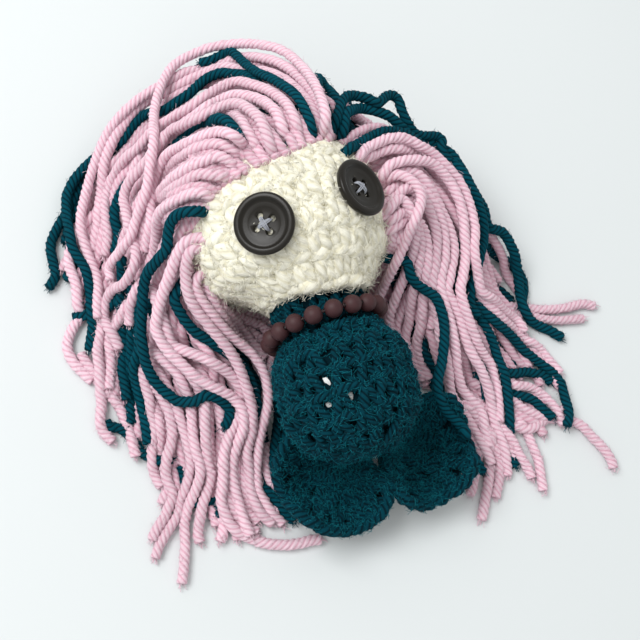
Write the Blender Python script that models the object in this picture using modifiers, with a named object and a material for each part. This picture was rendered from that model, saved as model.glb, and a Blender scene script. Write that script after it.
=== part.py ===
"""Amigurumi doll lying on its back, with button eyes, a bead necklace and long yarn hair.

The doll's long axis runs along +Y towards the crown of the head, +Z comes out of the face,
and z = 0 is the surface that the doll lies on. The head, neck and body are turned about one
axis, which passes over the origin. The hair is made of yarn lengths that are folded in half
and hooked into the head at the fold, so each one leaves the head as two tails.
"""
import math

import bmesh
import bpy
import numpy as np
from mathutils import Matrix, Vector

MM = 0.001

# Fits between pieces
TOUCH_GAP = 0.3 * MM
STITCHED_GAP = 0.4 * MM
SETTLED_DEPTH = 0.5 * MM
CUT_OVERRUN = 5 * MM
WELD_DISTANCE = 0.01 * MM

# Head
HEAD_RADIUS = 31 * MM
HEAD_HALF_HEIGHT = 25 * MM
HEAD_SQUARENESS_SHARE = 2.6
FABRIC_WALL = 3 * MM
STUFFING_CLEARANCE = 0.6 * MM

# Neck and body
NECK_RADIUS = 15 * MM
NECK_FLARE = 1 * MM
BODY_RADIUS = 22.5 * MM
BODY_HALF_LENGTH = 22.5 * MM
BODY_SQUARENESS_SHARE = 2.4
BODY_TOP_DROP = 33.5 * MM
SEAM_YARN_RADIUS = 1.2 * MM

# Tail lobes
LOBE_HALF_WIDTH = 15.6 * MM
LOBE_HALF_LENGTH = 20 * MM
LOBE_SPREAD_DEG = 43  # how far each lobe's long axis turns out from the doll's
LOBE_THICKNESS = 5 * MM
LOBE_RIM_RISE = 2 * MM  # above the height of the body's underside
LOBE_OVERHANG = 3 * MM  # of the lobes' middles past the end of the body
LOBE_SHIFT = 7 * MM
LOBE_SQUARENESS_SHARE = 2.3
LOBE_ROUNDED_SHARE = 0.925  # of the cage's reach, which rounding draws in
LOBE_WAVE = 0.8 * MM
LOBE_SETTLED_DEPTH = 1.2 * MM
LOBE_SCALLOPS = 6

# Button eyes
BUTTON_RADIUS = 9.5 * MM
BUTTON_CENTRE_THICKNESS = 1.9 * MM
BUTTON_RIM_THICKNESS = 2.9 * MM
BUTTON_DISH_SHARE = 0.72
BUTTON_EDGE_ROUNDING = 0.8 * MM
BUTTON_HOLE_RADIUS = 1.1 * MM
BUTTON_HOLE_SPACING = 5.6 * MM  # across, from one hole's middle to the opposite one's
BUTTON_RIGHT_TURN_DEG = 29
BUTTON_LEFT_TURN_DEG = 31
BUTTON_RIGHT_DROP = 7 * MM
BUTTON_LEFT_DROP = 3 * MM
BUTTON_RIGHT_SPIN_DEG = -34
BUTTON_LEFT_SPIN_DEG = -6
THREAD_RADIUS = 0.4 * MM
THREAD_LEVEL_SHARE = 0.7

# Necklace
BEAD_COUNT = 18
BEAD_RADIUS = 2.9 * MM
BEAD_BORE_RADIUS = 0.75 * MM
NECKLACE_RADIUS = 18.4 * MM
NECKLACE_LAP = 1.5 * MM  # of the ring of beads past the top of the body
NECKLACE_SPIN_DEG = -3.5
STRING_RADIUS = 0.45 * MM

# Hair
YARN_RADIUS = 1.65 * MM
HAIR_REACH = 100 * MM
LAYER_DROP = 5.4 * MM
TAIL_POINTS = 10
FOLD_WIDTH_SHARE = 0.6
HAIR_GAP = 0.35 * MM

# Hair guides. Each row is one tail: where it is hooked into the head, as degrees round the
# axis from the face towards +X and a share of the head's half height, then the places that it
# passes, as shares of HAIR_REACH. Tails between two guides are blended from both.
HAIR_RIGHT_SIDE_SHARES = (
    ((34, 0.66), ((0.21, 0.31, 0.53), (0.13, 0.60, 0.40), (-0.13, 0.69, 0.26), (-0.40, 0.58, 0.15),
                  (-0.60, 0.41, 0.08), (-0.73, 0.22, 0.03), (-0.81, 0.05, 0.02))),
    ((2, 0.42), ((-0.06, 0.28, 0.59), (-0.18, 0.42, 0.43), (-0.36, 0.38, 0.33), (-0.52, 0.28, 0.19),
                 (-0.65, 0.12, 0.06), (-0.77, -0.05, 0.03), (-0.83, -0.20, 0.02))),
    ((-27, 0.37), ((-0.23, 0.20, 0.56), (-0.36, 0.20, 0.46), (-0.48, 0.12, 0.30), (-0.59, 0.01, 0.15),
                   (-0.68, -0.15, 0.055), (-0.76, -0.33, 0.03), (-0.80, -0.49, 0.02))),
    ((-52, 0.28), ((-0.34, 0.06, 0.48), (-0.44, -0.02, 0.39), (-0.52, -0.14, 0.27), (-0.58, -0.29, 0.15),
                   (-0.63, -0.49, 0.05), (-0.70, -0.70, 0.025), (-0.77, -0.88, 0.02))),
    ((-70, -0.08), ((-0.37, -0.07, 0.39), (-0.42, -0.20, 0.30), (-0.43, -0.34, 0.20), (-0.45, -0.51, 0.13),
                    (-0.50, -0.69, 0.065), (-0.56, -0.86, 0.03), (-0.61, -1.03, 0.02))),
    ((-86, -0.42), ((-0.37, -0.18, 0.31), (-0.35, -0.30, 0.25), (-0.30, -0.41, 0.18), (-0.30, -0.55, 0.125),
                    (-0.36, -0.69, 0.075), (-0.40, -0.85, 0.04), (-0.38, -1.00, 0.025))),
)
HAIR_LEFT_SIDE_SHARES = (
    ((44, 0.66), ((0.39, 0.24, 0.46), (0.56, 0.16, 0.37), (0.70, 0.00, 0.28), (0.78, -0.18, 0.17),
                  (0.85, -0.34, 0.055), (0.92, -0.47, 0.025), (1.00, -0.56, 0.02))),
    ((62, 0.44), ((0.42, 0.09, 0.46), (0.54, -0.05, 0.37), (0.62, -0.24, 0.29), (0.67, -0.44, 0.16),
                  (0.73, -0.65, 0.055), (0.80, -0.84, 0.035), (0.87, -1.00, 0.02))),
    ((72, 0.08), ((0.40, -0.02, 0.43), (0.47, -0.16, 0.34), (0.52, -0.36, 0.26), (0.56, -0.55, 0.15),
                  (0.59, -0.75, 0.06), (0.62, -0.93, 0.03), (0.65, -1.08, 0.02))),
    ((80, -0.30), ((0.37, -0.10, 0.39), (0.42, -0.23, 0.31), (0.42, -0.40, 0.245), (0.43, -0.58, 0.16),
                   (0.45, -0.76, 0.07), (0.46, -0.93, 0.035), (0.43, -1.09, 0.02))),
)
RIGHT_LAYER_COUNT = 8
LEFT_LAYER_COUNT = 6
UNDER_LAYER_STEP_SHARE = 0.36
UNDER_LAYER_TURN_DEG = 17
UNDER_LAYER_SHIFT_SHARE = 0.5  # of the step from one tail to the next, so that layers interleave
TAIL_END_SHARES = (1.0, 0.93, 0.97, 0.88, 0.99, 0.91)
TEAL_EVERY = 4

# Mesh fineness
HEAD_STEPS = 28
BODY_STEPS = 24
BUTTON_STEPS = 24
BEAD_STEPS = 10
HOLE_SIDES = 8
LOBE_RINGS = 3
OUTLINE_POINTS = 11
BEAD_OUTLINE_POINTS = 6
STEPS_PER_KNOT = 12
ROUTE_POINTS = 60
GAP_SAMPLES = 5

# Spreading the hair until no two runs of yarn touch
SPREAD_ROUNDS = 240
REFRESH_ROUNDS = 12
SAME_PIECE_RUNS = 3
SMOOTHED_SHARE = 0.6
SMOOTHING_SHARE = 0.5
SPREAD_MARGIN_SHARE = 1.02
LEAST_SWELL_SHARE = 0.001

# Colours
CREAM = (0.90, 0.88, 0.80, 1)
TEAL = (0.004, 0.085, 0.115, 1)
PINK = (0.82, 0.43, 0.53, 1)
WHITE = (0.88, 0.88, 0.86, 1)
BUTTON_GREY = (0.045, 0.040, 0.036, 1)
PLUM = (0.15, 0.055, 0.06, 1)

AXIS_HEIGHT = HEAD_RADIUS - SETTLED_DEPTH
BODY_DROP = BODY_TOP_DROP + BODY_HALF_LENGTH
NECKLACE_DROP = BODY_TOP_DROP + NECKLACE_LAP
LOBE_DROP = BODY_DROP + BODY_HALF_LENGTH + LOBE_OVERHANG
HAIR_CLEARANCE = YARN_RADIUS + STITCHED_GAP
HEAD_CENTRE = np.array((0, 0, AXIS_HEIGHT))
BODY_CENTRE = np.array((0, -BODY_DROP, AXIS_HEIGHT))
ALONG_THE_DOLL = Matrix.Translation((0, 0, AXIS_HEIGHT)) @ Matrix.Rotation(-math.pi / 2, 4, "X")


def clear_scene():
    for item in list(bpy.data.objects):
        bpy.data.objects.remove(item, do_unlink=True)


def make_collection(name):
    collection = bpy.data.collections.new(name)
    bpy.context.scene.collection.children.link(collection)
    return collection


def make_material(name, colour, roughness):
    material = bpy.data.materials.new(name)
    material.use_nodes = True
    shader = material.node_tree.nodes["Principled BSDF"]
    shader.inputs["Base Color"].default_value = colour
    shader.inputs["Roughness"].default_value = roughness
    material.diffuse_color = colour
    return material


def add_piece(name, data, material, parent=None):
    piece = bpy.data.objects.new(name, data)
    PARTS.objects.link(piece)
    data.materials.append(material)
    piece.parent = parent
    return piece


def add_cutter(name, data, parent=None):
    cutter = bpy.data.objects.new(name, data)
    CUTTERS.objects.link(cutter)
    cutter.parent = parent
    cutter.hide_render = True
    cutter.display_type = "WIRE"
    return cutter


def add_pivot(name, matrix, parent=None):
    pivot = bpy.data.objects.new(name, None)
    PARTS.objects.link(pivot)
    pivot.parent = parent
    pivot.matrix_local = matrix
    return pivot


def mesh_from(name, points, edges=(), faces=()):
    mesh = bpy.data.meshes.new(name)
    mesh.from_pydata([tuple(point) for point in points], list(edges), list(faces))
    return mesh


def cut(piece, cutter):
    modifier = piece.modifiers.new("cut_by_" + cutter.name, "BOOLEAN")
    modifier.operation = "DIFFERENCE"
    modifier.object = cutter


def turned_mesh(name, outline):
    """An outline of (radius, height) points, from the top down, as a mesh for a Screw modifier."""
    points = [(radius, 0, height) for radius, height in outline]
    edges = [(i, i + 1) for i in range(len(points) - 1)]
    return mesh_from(name, points, edges)


def add_screw(piece, steps):
    screw = piece.modifiers.new("turn", "SCREW")
    screw.axis = "Z"
    screw.steps = steps
    screw.render_steps = steps
    screw.use_merge_vertices = True
    screw.merge_threshold = WELD_DISTANCE
    screw.use_smooth_shade = True


def add_wall(piece, thickness):
    solidify = piece.modifiers.new("wall", "SOLIDIFY")
    solidify.thickness = thickness
    solidify.offset = -1


def swell_outline(radius, half_height, squareness, inset, opening_radius):
    """A swelling form's (radius, height) points, from its pole to the rim of its opening."""
    power = 2 / squareness
    last = math.acos((opening_radius / radius) ** (1 / power))
    outline = []
    for i in range(OUTLINE_POINTS):
        angle = math.pi / 2 + (-last - math.pi / 2) * i / (OUTLINE_POINTS - 1)
        cosine, sine = max(math.cos(angle), 0), math.sin(angle)
        across = radius * cosine**power
        along = half_height * math.copysign(abs(sine) ** power, sine)
        lean = math.copysign(abs(sine) ** (2 - power), sine)
        slope = Vector((cosine ** (2 - power) / radius, lean / half_height)).normalized()
        outline.append((max(across - inset * slope.x, 0) if i else 0, along - inset * slope.y))
    return outline


def head_outline(inset=0.0):
    opening = NECK_RADIUS + NECK_FLARE
    return swell_outline(HEAD_RADIUS, HEAD_HALF_HEIGHT, HEAD_SQUARENESS_SHARE, inset, opening)


def body_outline(inset=0.0):
    """The body's ball, opening upwards to the neck, and placed along the doll's axis."""
    outline = swell_outline(BODY_RADIUS, BODY_HALF_LENGTH, BODY_SQUARENESS_SHARE, inset, NECK_RADIUS)
    return [(radius, -BODY_DROP - height) for radius, height in reversed(outline)]


def head_place(turn, height):
    """The point on the head at that turn from the face and that height, and the way out of it."""
    n = HEAD_SQUARENESS_SHARE
    share = abs(height) / HEAD_HALF_HEIGHT
    radius = HEAD_RADIUS * (1 - share**n) ** (1 / n)
    across = (radius / HEAD_RADIUS) ** (n - 1) / HEAD_RADIUS
    along = math.copysign(share ** (n - 1), height) / HEAD_HALF_HEIGHT
    point = Vector((radius * math.sin(turn), height, AXIS_HEIGHT + radius * math.cos(turn)))
    out = Vector((across * math.sin(turn), along, across * math.cos(turn))).normalized()
    return point, out


def make_head(axis, floor):
    shell = add_piece("head_shell", turned_mesh("head_shell", head_outline()), CREAM_YARN, axis)
    add_screw(shell, HEAD_STEPS)
    add_wall(shell, FABRIC_WALL)
    cut(shell, floor)
    inner = head_outline(FABRIC_WALL + STUFFING_CLEARANCE)
    inner.append((0, inner[-1][1]))
    stuffing = add_piece("head_stuffing", turned_mesh("head_stuffing", inner), FIBREFILL, axis)
    add_screw(stuffing, HEAD_STEPS)


def make_body(axis):
    shell = add_piece("body_shell", turned_mesh("body_shell", body_outline()), TEAL_YARN, axis)
    add_screw(shell, BODY_STEPS)
    add_wall(shell, FABRIC_WALL)
    rim = head_outline()[-1][1]
    top = rim - TOUCH_GAP
    bottom = body_outline()[0][1] + TOUCH_GAP
    inner_radius = NECK_RADIUS - FABRIC_WALL
    corners = [(inner_radius, top), (NECK_RADIUS, top), (NECK_RADIUS, bottom), (inner_radius, bottom)]
    band = add_piece("neck_band", turned_mesh("neck_band", corners + corners[:1]), TEAL_YARN, axis)
    add_screw(band, BODY_STEPS)
    inner = body_outline(FABRIC_WALL + STUFFING_CLEARANCE)
    column = inner_radius - STUFFING_CLEARANCE
    head_inside = head_outline(FABRIC_WALL + STUFFING_CLEARANCE)[-1][1]
    column_top = min(top, head_inside - TOUCH_GAP)
    inner = [point for point in inner if point[1] < bottom - FABRIC_WALL]
    inner = [(0, column_top), (column, column_top), (column, bottom - FABRIC_WALL)] + inner
    stuffing = add_piece("body_stuffing", turned_mesh("body_stuffing", inner), FIBREFILL, axis)
    add_screw(stuffing, BODY_STEPS)
    seam_height = rim - 2 * TOUCH_GAP - SEAM_YARN_RADIUS
    seam_radius = NECK_RADIUS + TOUCH_GAP + SEAM_YARN_RADIUS
    add_ring("neck_seam", seam_radius, seam_height, SEAM_YARN_RADIUS, BODY_STEPS, CREAM_YARN, axis)


def add_ring(name, radius, height, thickness, sides, material, parent):
    """A closed ring of yarn or string about the doll's axis, with straight runs between its corners."""
    spline_points = []
    for i in range(sides):
        angle = 2 * math.pi * i / sides
        spline_points.append(Vector((radius * math.cos(angle), radius * math.sin(angle), height)))
    curve = tube_curve(name, spline_points, thickness, closed=True)
    return add_piece(name, curve, material, parent)


def tube_curve(name, points, radius, closed=False):
    curve = bpy.data.curves.new(name, "CURVE")
    curve.dimensions = "3D"
    curve.bevel_depth = radius
    curve.bevel_resolution = 1
    curve.use_fill_caps = not closed
    spline = curve.splines.new("POLY")
    spline.points.add(len(points) - 1)
    for spot, point in zip(spline.points, points):
        spot.co = (*point, 1)
    spline.use_cyclic_u = closed
    return curve


def lobe_mesh(name):
    """A cupped fan with a scalloped rim, as an open cage of rings round its middle."""
    shape = bmesh.new()
    power = LOBE_SQUARENESS_SHARE
    rise = AXIS_HEIGHT - BODY_RADIUS + LOBE_RIM_RISE
    spokes = 2 * LOBE_SCALLOPS
    middle = shape.verts.new((0, 0, 0))
    grid = []
    for ring in range(LOBE_RINGS):
        reach = (ring + 1) / LOBE_RINGS
        row = []
        for spoke in range(spokes):
            angle = 2 * math.pi * (spoke + 0.5) / spokes
            heading = Vector((math.cos(angle), math.sin(angle), 0))
            across = abs(heading.x) / LOBE_HALF_WIDTH
            along = abs(heading.y) / LOBE_HALF_LENGTH
            edge = (across**power + along**power) ** (-1 / power)
            wave = LOBE_WAVE * math.cos(LOBE_SCALLOPS * angle) * reach
            lift = Vector((0, 0, rise * reach**2 + wave))
            row.append(shape.verts.new(reach * edge * heading + lift))
        grid.append(row)
    for spoke in range(spokes):
        following = (spoke + 1) % spokes
        shape.faces.new((middle, grid[0][spoke], grid[0][following]))
        for inner, outer in zip(grid, grid[1:]):
            shape.faces.new((inner[spoke], outer[spoke], outer[following], inner[following]))
    mesh = bpy.data.meshes.new(name)
    shape.to_mesh(mesh)
    shape.free()
    return mesh


def lobe_spacing():
    """From the middle of the tail to the middle of each lobe, so that the two meet with a stitched gap."""
    turn = math.radians(LOBE_SPREAD_DEG)
    power = LOBE_SQUARENESS_SHARE / (LOBE_SQUARENESS_SHARE - 1)
    across = (LOBE_HALF_WIDTH * math.cos(turn)) ** power + (LOBE_HALF_LENGTH * math.sin(turn)) ** power
    return LOBE_ROUNDED_SHARE * across ** (1 / power) + STITCHED_GAP / 2


def make_lobes(body_clearance, floor):
    lift = LOBE_THICKNESS / 2 - LOBE_SETTLED_DEPTH
    for side, direction in (("right", -1), ("left", 1)):
        across = LOBE_SHIFT + direction * lobe_spacing()
        lobe = add_piece("tail_lobe_" + side, lobe_mesh("tail_lobe_" + side), TEAL_YARN)
        lobe.location = (across, -LOBE_DROP, lift)
        lobe.rotation_euler = (0, 0, -direction * math.radians(LOBE_SPREAD_DEG))
        wall = lobe.modifiers.new("wall", "SOLIDIFY")
        wall.thickness = LOBE_THICKNESS
        wall.offset = 0
        rounding = lobe.modifiers.new("rounding", "SUBSURF")
        rounding.levels = 1
        rounding.render_levels = 1
        cut(lobe, body_clearance)
        cut(lobe, floor)


def button_outline():
    """From the middle of the dished front, over the rim and round to the middle of the back."""
    back = TOUCH_GAP
    dish = BUTTON_RADIUS * BUTTON_DISH_SHARE
    floor_height = back + BUTTON_CENTRE_THICKNESS
    rim_height = back + BUTTON_RIM_THICKNESS
    step = BUTTON_EDGE_ROUNDING / 2
    return [
        (0, floor_height),
        (dish, floor_height),
        (dish + step, rim_height - step / 2),
        (BUTTON_RADIUS - 2 * BUTTON_EDGE_ROUNDING, rim_height),
        (BUTTON_RADIUS - BUTTON_EDGE_ROUNDING / 2, rim_height - BUTTON_EDGE_ROUNDING / 2),
        (BUTTON_RADIUS, rim_height - 2 * BUTTON_EDGE_ROUNDING),
        (BUTTON_RADIUS - BUTTON_EDGE_ROUNDING, back),
        (0, back),
    ]


def hole_places():
    half = BUTTON_HOLE_SPACING / 2
    quarters = [math.pi / 4 + math.pi / 2 * i for i in range(4)]
    return [Vector((half * math.cos(angle), half * math.sin(angle), 0)) for angle in quarters]


def hole_cutter(name, parent):
    depth = BUTTON_RIM_THICKNESS + CUT_OVERRUN
    shape = bmesh.new()
    for place in hole_places():
        matrix = Matrix.Translation(place)
        bmesh.ops.create_cone(shape, cap_ends=True, segments=HOLE_SIDES, radius1=BUTTON_HOLE_RADIUS,
                              radius2=BUTTON_HOLE_RADIUS, depth=depth, matrix=matrix)
    mesh = bpy.data.meshes.new(name)
    shape.to_mesh(mesh)
    shape.free()
    return add_cutter(name, mesh, parent)


def thread_mesh(name):
    """The two crossing stitches over the button, with their legs down through the four holes."""
    over = TOUCH_GAP + BUTTON_CENTRE_THICKNESS + TOUCH_GAP + THREAD_RADIUS
    foot = TOUCH_GAP
    corners = hole_places()
    stitches = []
    for first, second in ((0, 2), (1, 3)):
        start, end = corners[first], corners[second]
        points = []
        for corner, heights in ((start, (foot, over - THREAD_RADIUS)), (end, (over - THREAD_RADIUS, foot))):
            points += [Vector((corner.x, corner.y, height)) for height in heights]
        points[2:2] = [corner * THREAD_LEVEL_SHARE + Vector((0, 0, over)) for corner in (start, end)]
        curve = tube_curve(name + "_stitch", points, THREAD_RADIUS)
        stitches.append(mesh_of_curve(curve, name))
    return stitches


def mesh_of_curve(curve, name):
    holder = bpy.data.objects.new(name + "_curve", curve)
    bpy.context.scene.collection.objects.link(holder)
    bpy.context.view_layer.update()
    mesh = bpy.data.meshes.new_from_object(holder.evaluated_get(bpy.context.evaluated_depsgraph_get()))
    bpy.data.objects.remove(holder, do_unlink=True)
    shape = bmesh.new()
    shape.from_mesh(mesh)
    bmesh.ops.remove_doubles(shape, verts=shape.verts, dist=WELD_DISTANCE)
    shape.to_mesh(mesh)
    shape.free()
    return mesh


def make_button(side, turn, drop, spin_deg):
    point, out = head_place(turn, -drop)
    upward = Vector((0, 1, 0))
    across = upward.cross(out).normalized()
    frame = Matrix((across, out.cross(across), out)).transposed().to_4x4()
    spin = Matrix.Rotation(math.radians(spin_deg), 4, "Z")
    pivot = add_pivot("button_" + side + "_axis", Matrix.Translation(point) @ frame @ spin)
    mesh = turned_mesh("button_" + side, button_outline())
    button = add_piece("button_" + side, mesh, BUTTON_PLASTIC, pivot)
    add_screw(button, BUTTON_STEPS)
    cut(button, hole_cutter("button_" + side + "_holes", pivot))
    first, second = thread_mesh("button_thread_" + side)
    thread = add_piece("button_thread_" + side, first, THREAD, pivot)
    other = add_cutter("button_thread_" + side + "_crossing", second, pivot)
    union = thread.modifiers.new("crossing", "BOOLEAN")
    union.operation = "UNION"
    union.object = other


def bead_mesh():
    """A round bead, bored along its own Z."""
    half_bore = math.asin(BEAD_BORE_RADIUS / BEAD_RADIUS)
    outline = []
    for angle in np.linspace(half_bore, math.pi - half_bore, BEAD_OUTLINE_POINTS):
        outline.append((BEAD_RADIUS * math.sin(angle), BEAD_RADIUS * math.cos(angle)))
    outline.append(outline[0])
    return turned_mesh("bead", outline)


def make_necklace(axis):
    """The string runs straight through each bead and turns between them."""
    spin = Matrix.Rotation(math.radians(NECKLACE_SPIN_DEG), 4, "Z")
    pivot = add_pivot("necklace_axis", Matrix.Translation((0, 0, -NECKLACE_DROP)) @ spin, axis)
    corner_radius = NECKLACE_RADIUS / math.cos(math.pi / BEAD_COUNT)
    add_ring("necklace_string", corner_radius, 0, STRING_RADIUS, BEAD_COUNT, STRING, pivot)
    for i in range(BEAD_COUNT):
        angle = 2 * math.pi * (i + 0.5) / BEAD_COUNT
        heading = Vector((math.cos(angle), math.sin(angle), 0))
        place = Matrix.Translation(NECKLACE_RADIUS * heading)
        along_string = Matrix.Rotation(angle, 4, "Z") @ Matrix.Rotation(math.pi / 2, 4, "X")
        bead = add_piece(f"bead_{i + 1:02d}", bead_mesh(), BEAD_GLAZE, pivot)
        bead.matrix_local = place @ along_string
        add_screw(bead, BEAD_STEPS)


def smooth_route(knots, count):
    """Points at even steps of length along a smooth curve through the knots."""
    knots = np.array([knots[0] * 2 - knots[1], *knots, knots[-1] * 2 - knots[-2]])
    fine = []
    for before, start, end, after in zip(knots, knots[1:], knots[2:], knots[3:]):
        square = 2 * before - 5 * start + 4 * end - after
        cube = 3 * start - before - 3 * end + after
        for t in np.linspace(0, 1, STEPS_PER_KNOT, endpoint=False):
            fine.append(start + ((end - before) * t + square * t**2 + cube * t**3) / 2)
    fine.append(knots[-2])
    fine = np.array(fine)
    steps = np.concatenate([[0], np.cumsum(np.linalg.norm(np.diff(fine, axis=0), axis=1))])
    wanted = np.linspace(0, steps[-1], count)
    return np.stack([np.interp(wanted, steps, fine[:, k]) for k in range(3)], axis=1)


def swell_size(offsets, radius, half_height, squareness):
    """How far out each offset from a swelling form's middle lies: 1 on its surface, less inside."""
    across = np.hypot(offsets[:, 0], offsets[:, 2]) / radius
    along = np.abs(offsets[:, 1]) / half_height
    return (across**squareness + along**squareness) ** (1 / squareness)


def out_of_swell(points, radius, half_height, squareness, centre, onto=False):
    """The points, with those inside a swelling form, or all of them, moved straight out onto it."""
    offsets = points - centre
    size = swell_size(offsets, radius, half_height, squareness)
    size = np.maximum(size, LEAST_SWELL_SHARE)[:, None]
    return np.where((size < 1) | onto, centre + offsets / size, points)


def out_of_head(points, onto=False):
    radius, half_height = HEAD_RADIUS + HAIR_CLEARANCE, HEAD_HALF_HEIGHT + HAIR_CLEARANCE
    return out_of_swell(points, radius, half_height, HEAD_SQUARENESS_SHARE, HEAD_CENTRE, onto)


def out_of_body(points):
    radius, half_length = BODY_RADIUS + HAIR_CLEARANCE, BODY_HALF_LENGTH + HAIR_CLEARANCE
    return out_of_swell(points, radius, half_length, BODY_SQUARENESS_SHARE, BODY_CENTRE)


def clear_of_doll(points):
    points = out_of_body(out_of_head(points))
    points[:, 2] = np.maximum(points[:, 2], YARN_RADIUS + TOUCH_GAP)
    return points


def blended_guide(guides, share):
    place = share * (len(guides) - 1)
    low = min(int(place), len(guides) - 2)
    mix = place - low
    (turn_a, height_a), spots_a = guides[low]
    (turn_b, height_b), spots_b = guides[low + 1]
    turn = turn_a + (turn_b - turn_a) * mix
    height = height_a + (height_b - height_a) * mix
    spots = np.array(spots_a) * (1 - mix) + np.array(spots_b) * mix
    return math.radians(turn), height, spots * HAIR_REACH


def tail_route(guides, share, direction, under, end_share):
    """One tail, from its root on the head to its cut end. Under tails lie a layer lower."""
    turn, height, spots = blended_guide(guides, share)
    if under:
        turn += direction * math.radians(UNDER_LAYER_TURN_DEG) * share
        height += UNDER_LAYER_STEP_SHARE * (1 - share) * (1 - height)
        lowest = YARN_RADIUS + TOUCH_GAP
        spots[:, 2] = np.maximum(spots[:, 2] - LAYER_DROP, lowest)
    root, out = head_place(turn, height * HEAD_HALF_HEIGHT)
    knots = [np.array(root + out * HAIR_CLEARANCE), *spots]
    route = smooth_route(knots, ROUTE_POINTS)
    keep = int(ROUTE_POINTS * end_share)
    pick = np.linspace(0, keep - 1, TAIL_POINTS).round().astype(int)
    return route[pick]


def hair_route(first, second):
    """A yarn length from one cut end to the other, folded at the head between its two tails."""
    heading = (first[1] - first[0] + second[1] - second[0]) / 2
    heading = heading / np.linalg.norm(heading)
    half_width = np.linalg.norm(first[0] - second[0]) / 2
    middle = (first[0] + second[0]) / 2
    top = middle - heading * half_width
    fold = [top + (root - middle) * FOLD_WIDTH_SHARE for root in (first[0], second[0])]
    return np.array([*first[::-1], *fold, *second])


def samples_along(vertices, starts):
    """Points along every run, with the share of each that its end vertex has."""
    shares = np.tile(np.arange(GAP_SAMPLES) / GAP_SAMPLES, len(starts))[:, None]
    first = np.repeat(starts, GAP_SAMPLES)
    return vertices[first] * (1 - shares) + vertices[first + 1] * shares, first, shares


def near_pairs(points, pieces, order, reach):
    """Pairs of sample points nearer than reach, on two pieces or far apart along one."""
    firsts, seconds = [], []
    for i in range(len(points) - 1):
        later = slice(i + 1, None)
        near = np.linalg.norm(points[later] - points[i], axis=1) < reach
        apart = (pieces[later] != pieces[i]) | (order[later] - order[i] > SAME_PIECE_RUNS * GAP_SAMPLES)
        found = np.flatnonzero(near & apart) + i + 1
        firsts.append(np.full(len(found), i))
        seconds.append(found)
    return np.concatenate(firsts), np.concatenate(seconds)


def spread_apart(routes):
    """Moves the runs of yarn apart, a little at a time, until none comes too near another."""
    lengths = [len(route) for route in routes]
    drawn = np.concatenate(routes)
    vertices = drawn.copy()
    corners = np.concatenate([[0], np.cumsum(lengths)])
    starts = np.concatenate([np.arange(low, high - 1) for low, high in zip(corners, corners[1:])])
    piece_of = np.repeat(np.arange(len(routes)), lengths)
    hooked = np.concatenate([low + np.arange(TAIL_POINTS - 1, TAIL_POINTS + 3) for low in corners[:-1]])
    interior = np.setdiff1d(starts, corners)
    wanted = 2 * YARN_RADIUS + HAIR_GAP
    for turn in range(SPREAD_ROUNDS):
        points, first, shares = samples_along(vertices, starts)
        if turn % REFRESH_ROUNDS == 0:
            one, two = near_pairs(points, piece_of[first], np.arange(len(points)), 2 * wanted)
        between = points[two] - points[one]
        distance = np.maximum(np.linalg.norm(between, axis=1), WELD_DISTANCE)[:, None]
        push = between / distance * np.maximum(wanted * SPREAD_MARGIN_SHARE - distance, 0) / 2
        out = clear_of_doll(points.copy()) - points
        pushed = np.concatenate([one, two, np.arange(len(points))])
        moves = np.concatenate([-push, push, out])
        touched = np.abs(moves).max(axis=1) > 0
        pushed, moves = pushed[touched], moves[touched]
        total, count = np.zeros_like(vertices), np.zeros(len(vertices))
        for vertex, weight in ((first[pushed], 1 - shares[pushed]), (first[pushed] + 1, shares[pushed])):
            np.add.at(total, vertex, weight * moves)
            np.add.at(count, vertex, weight[:, 0] ** 2)
        vertices = vertices + total / np.maximum(count, 0.5)[:, None]
        if turn < SPREAD_ROUNDS * SMOOTHED_SHARE:
            moved = vertices - drawn
            middle = (moved[interior - 1] + moved[interior + 1]) / 2
            vertices[interior] += (middle - moved[interior]) * SMOOTHING_SHARE
        vertices[hooked] = out_of_head(vertices[hooked], onto=True)
        vertices = clear_of_doll(vertices)
    return np.split(vertices, corners[1:-1])


def make_hair():
    routes = {}
    right_side = ("right", HAIR_RIGHT_SIDE_SHARES, RIGHT_LAYER_COUNT, -1)
    left_side = ("left", HAIR_LEFT_SIDE_SHARES, LEFT_LAYER_COUNT, 1)
    for side, guides, pieces, direction in (right_side, left_side):
        for layer in ("top", "under"):
            tails = []
            for i in range(2 * pieces):
                shift = UNDER_LAYER_SHIFT_SHARE if layer == "under" else 0
                share = (i + shift) / (2 * pieces - 1)
                end_share = TAIL_END_SHARES[i % len(TAIL_END_SHARES)]
                if layer == "under":
                    end_share = TAIL_END_SHARES[(i + 2) % len(TAIL_END_SHARES)]
                tails.append(tail_route(guides, share, direction, layer == "under", end_share))
            for i in range(pieces):
                name = f"hair_{side}_{layer}_{i + 1:02d}"
                routes[name] = hair_route(tails[2 * i], tails[2 * i + 1])
    routes = dict(zip(routes, spread_apart(list(routes.values()))))
    for number, (name, route) in enumerate(routes.items()):
        yarn = TEAL_YARN if number % TEAL_EVERY == 1 else PINK_YARN
        add_piece(name, tube_curve(name, [Vector(point) for point in route], YARN_RADIUS), yarn)
    return routes


def print_least_gap(routes):
    """How near the runs of hair yarn come to each other, on points along them."""
    pieces = list(routes.values())
    corners = np.concatenate([[0], np.cumsum([len(piece) for piece in pieces])])
    starts = np.concatenate([np.arange(low, high - 1) for low, high in zip(corners, corners[1:])])
    piece_of = np.repeat(np.arange(len(pieces)), [len(piece) for piece in pieces])
    points, first, _ = samples_along(np.concatenate(pieces), starts)
    one, two = near_pairs(points, piece_of[first], np.arange(len(points)), 4 * YARN_RADIUS)
    gaps = np.linalg.norm(points[one] - points[two], axis=1) - 2 * YARN_RADIUS
    names = list(routes)
    pair = [names[piece_of[first[side[gaps.argmin()]]]] for side in (one, two)]
    print("least gap between runs of hair:", round(gaps.min() / MM, 2), "mm,", *pair)


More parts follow.
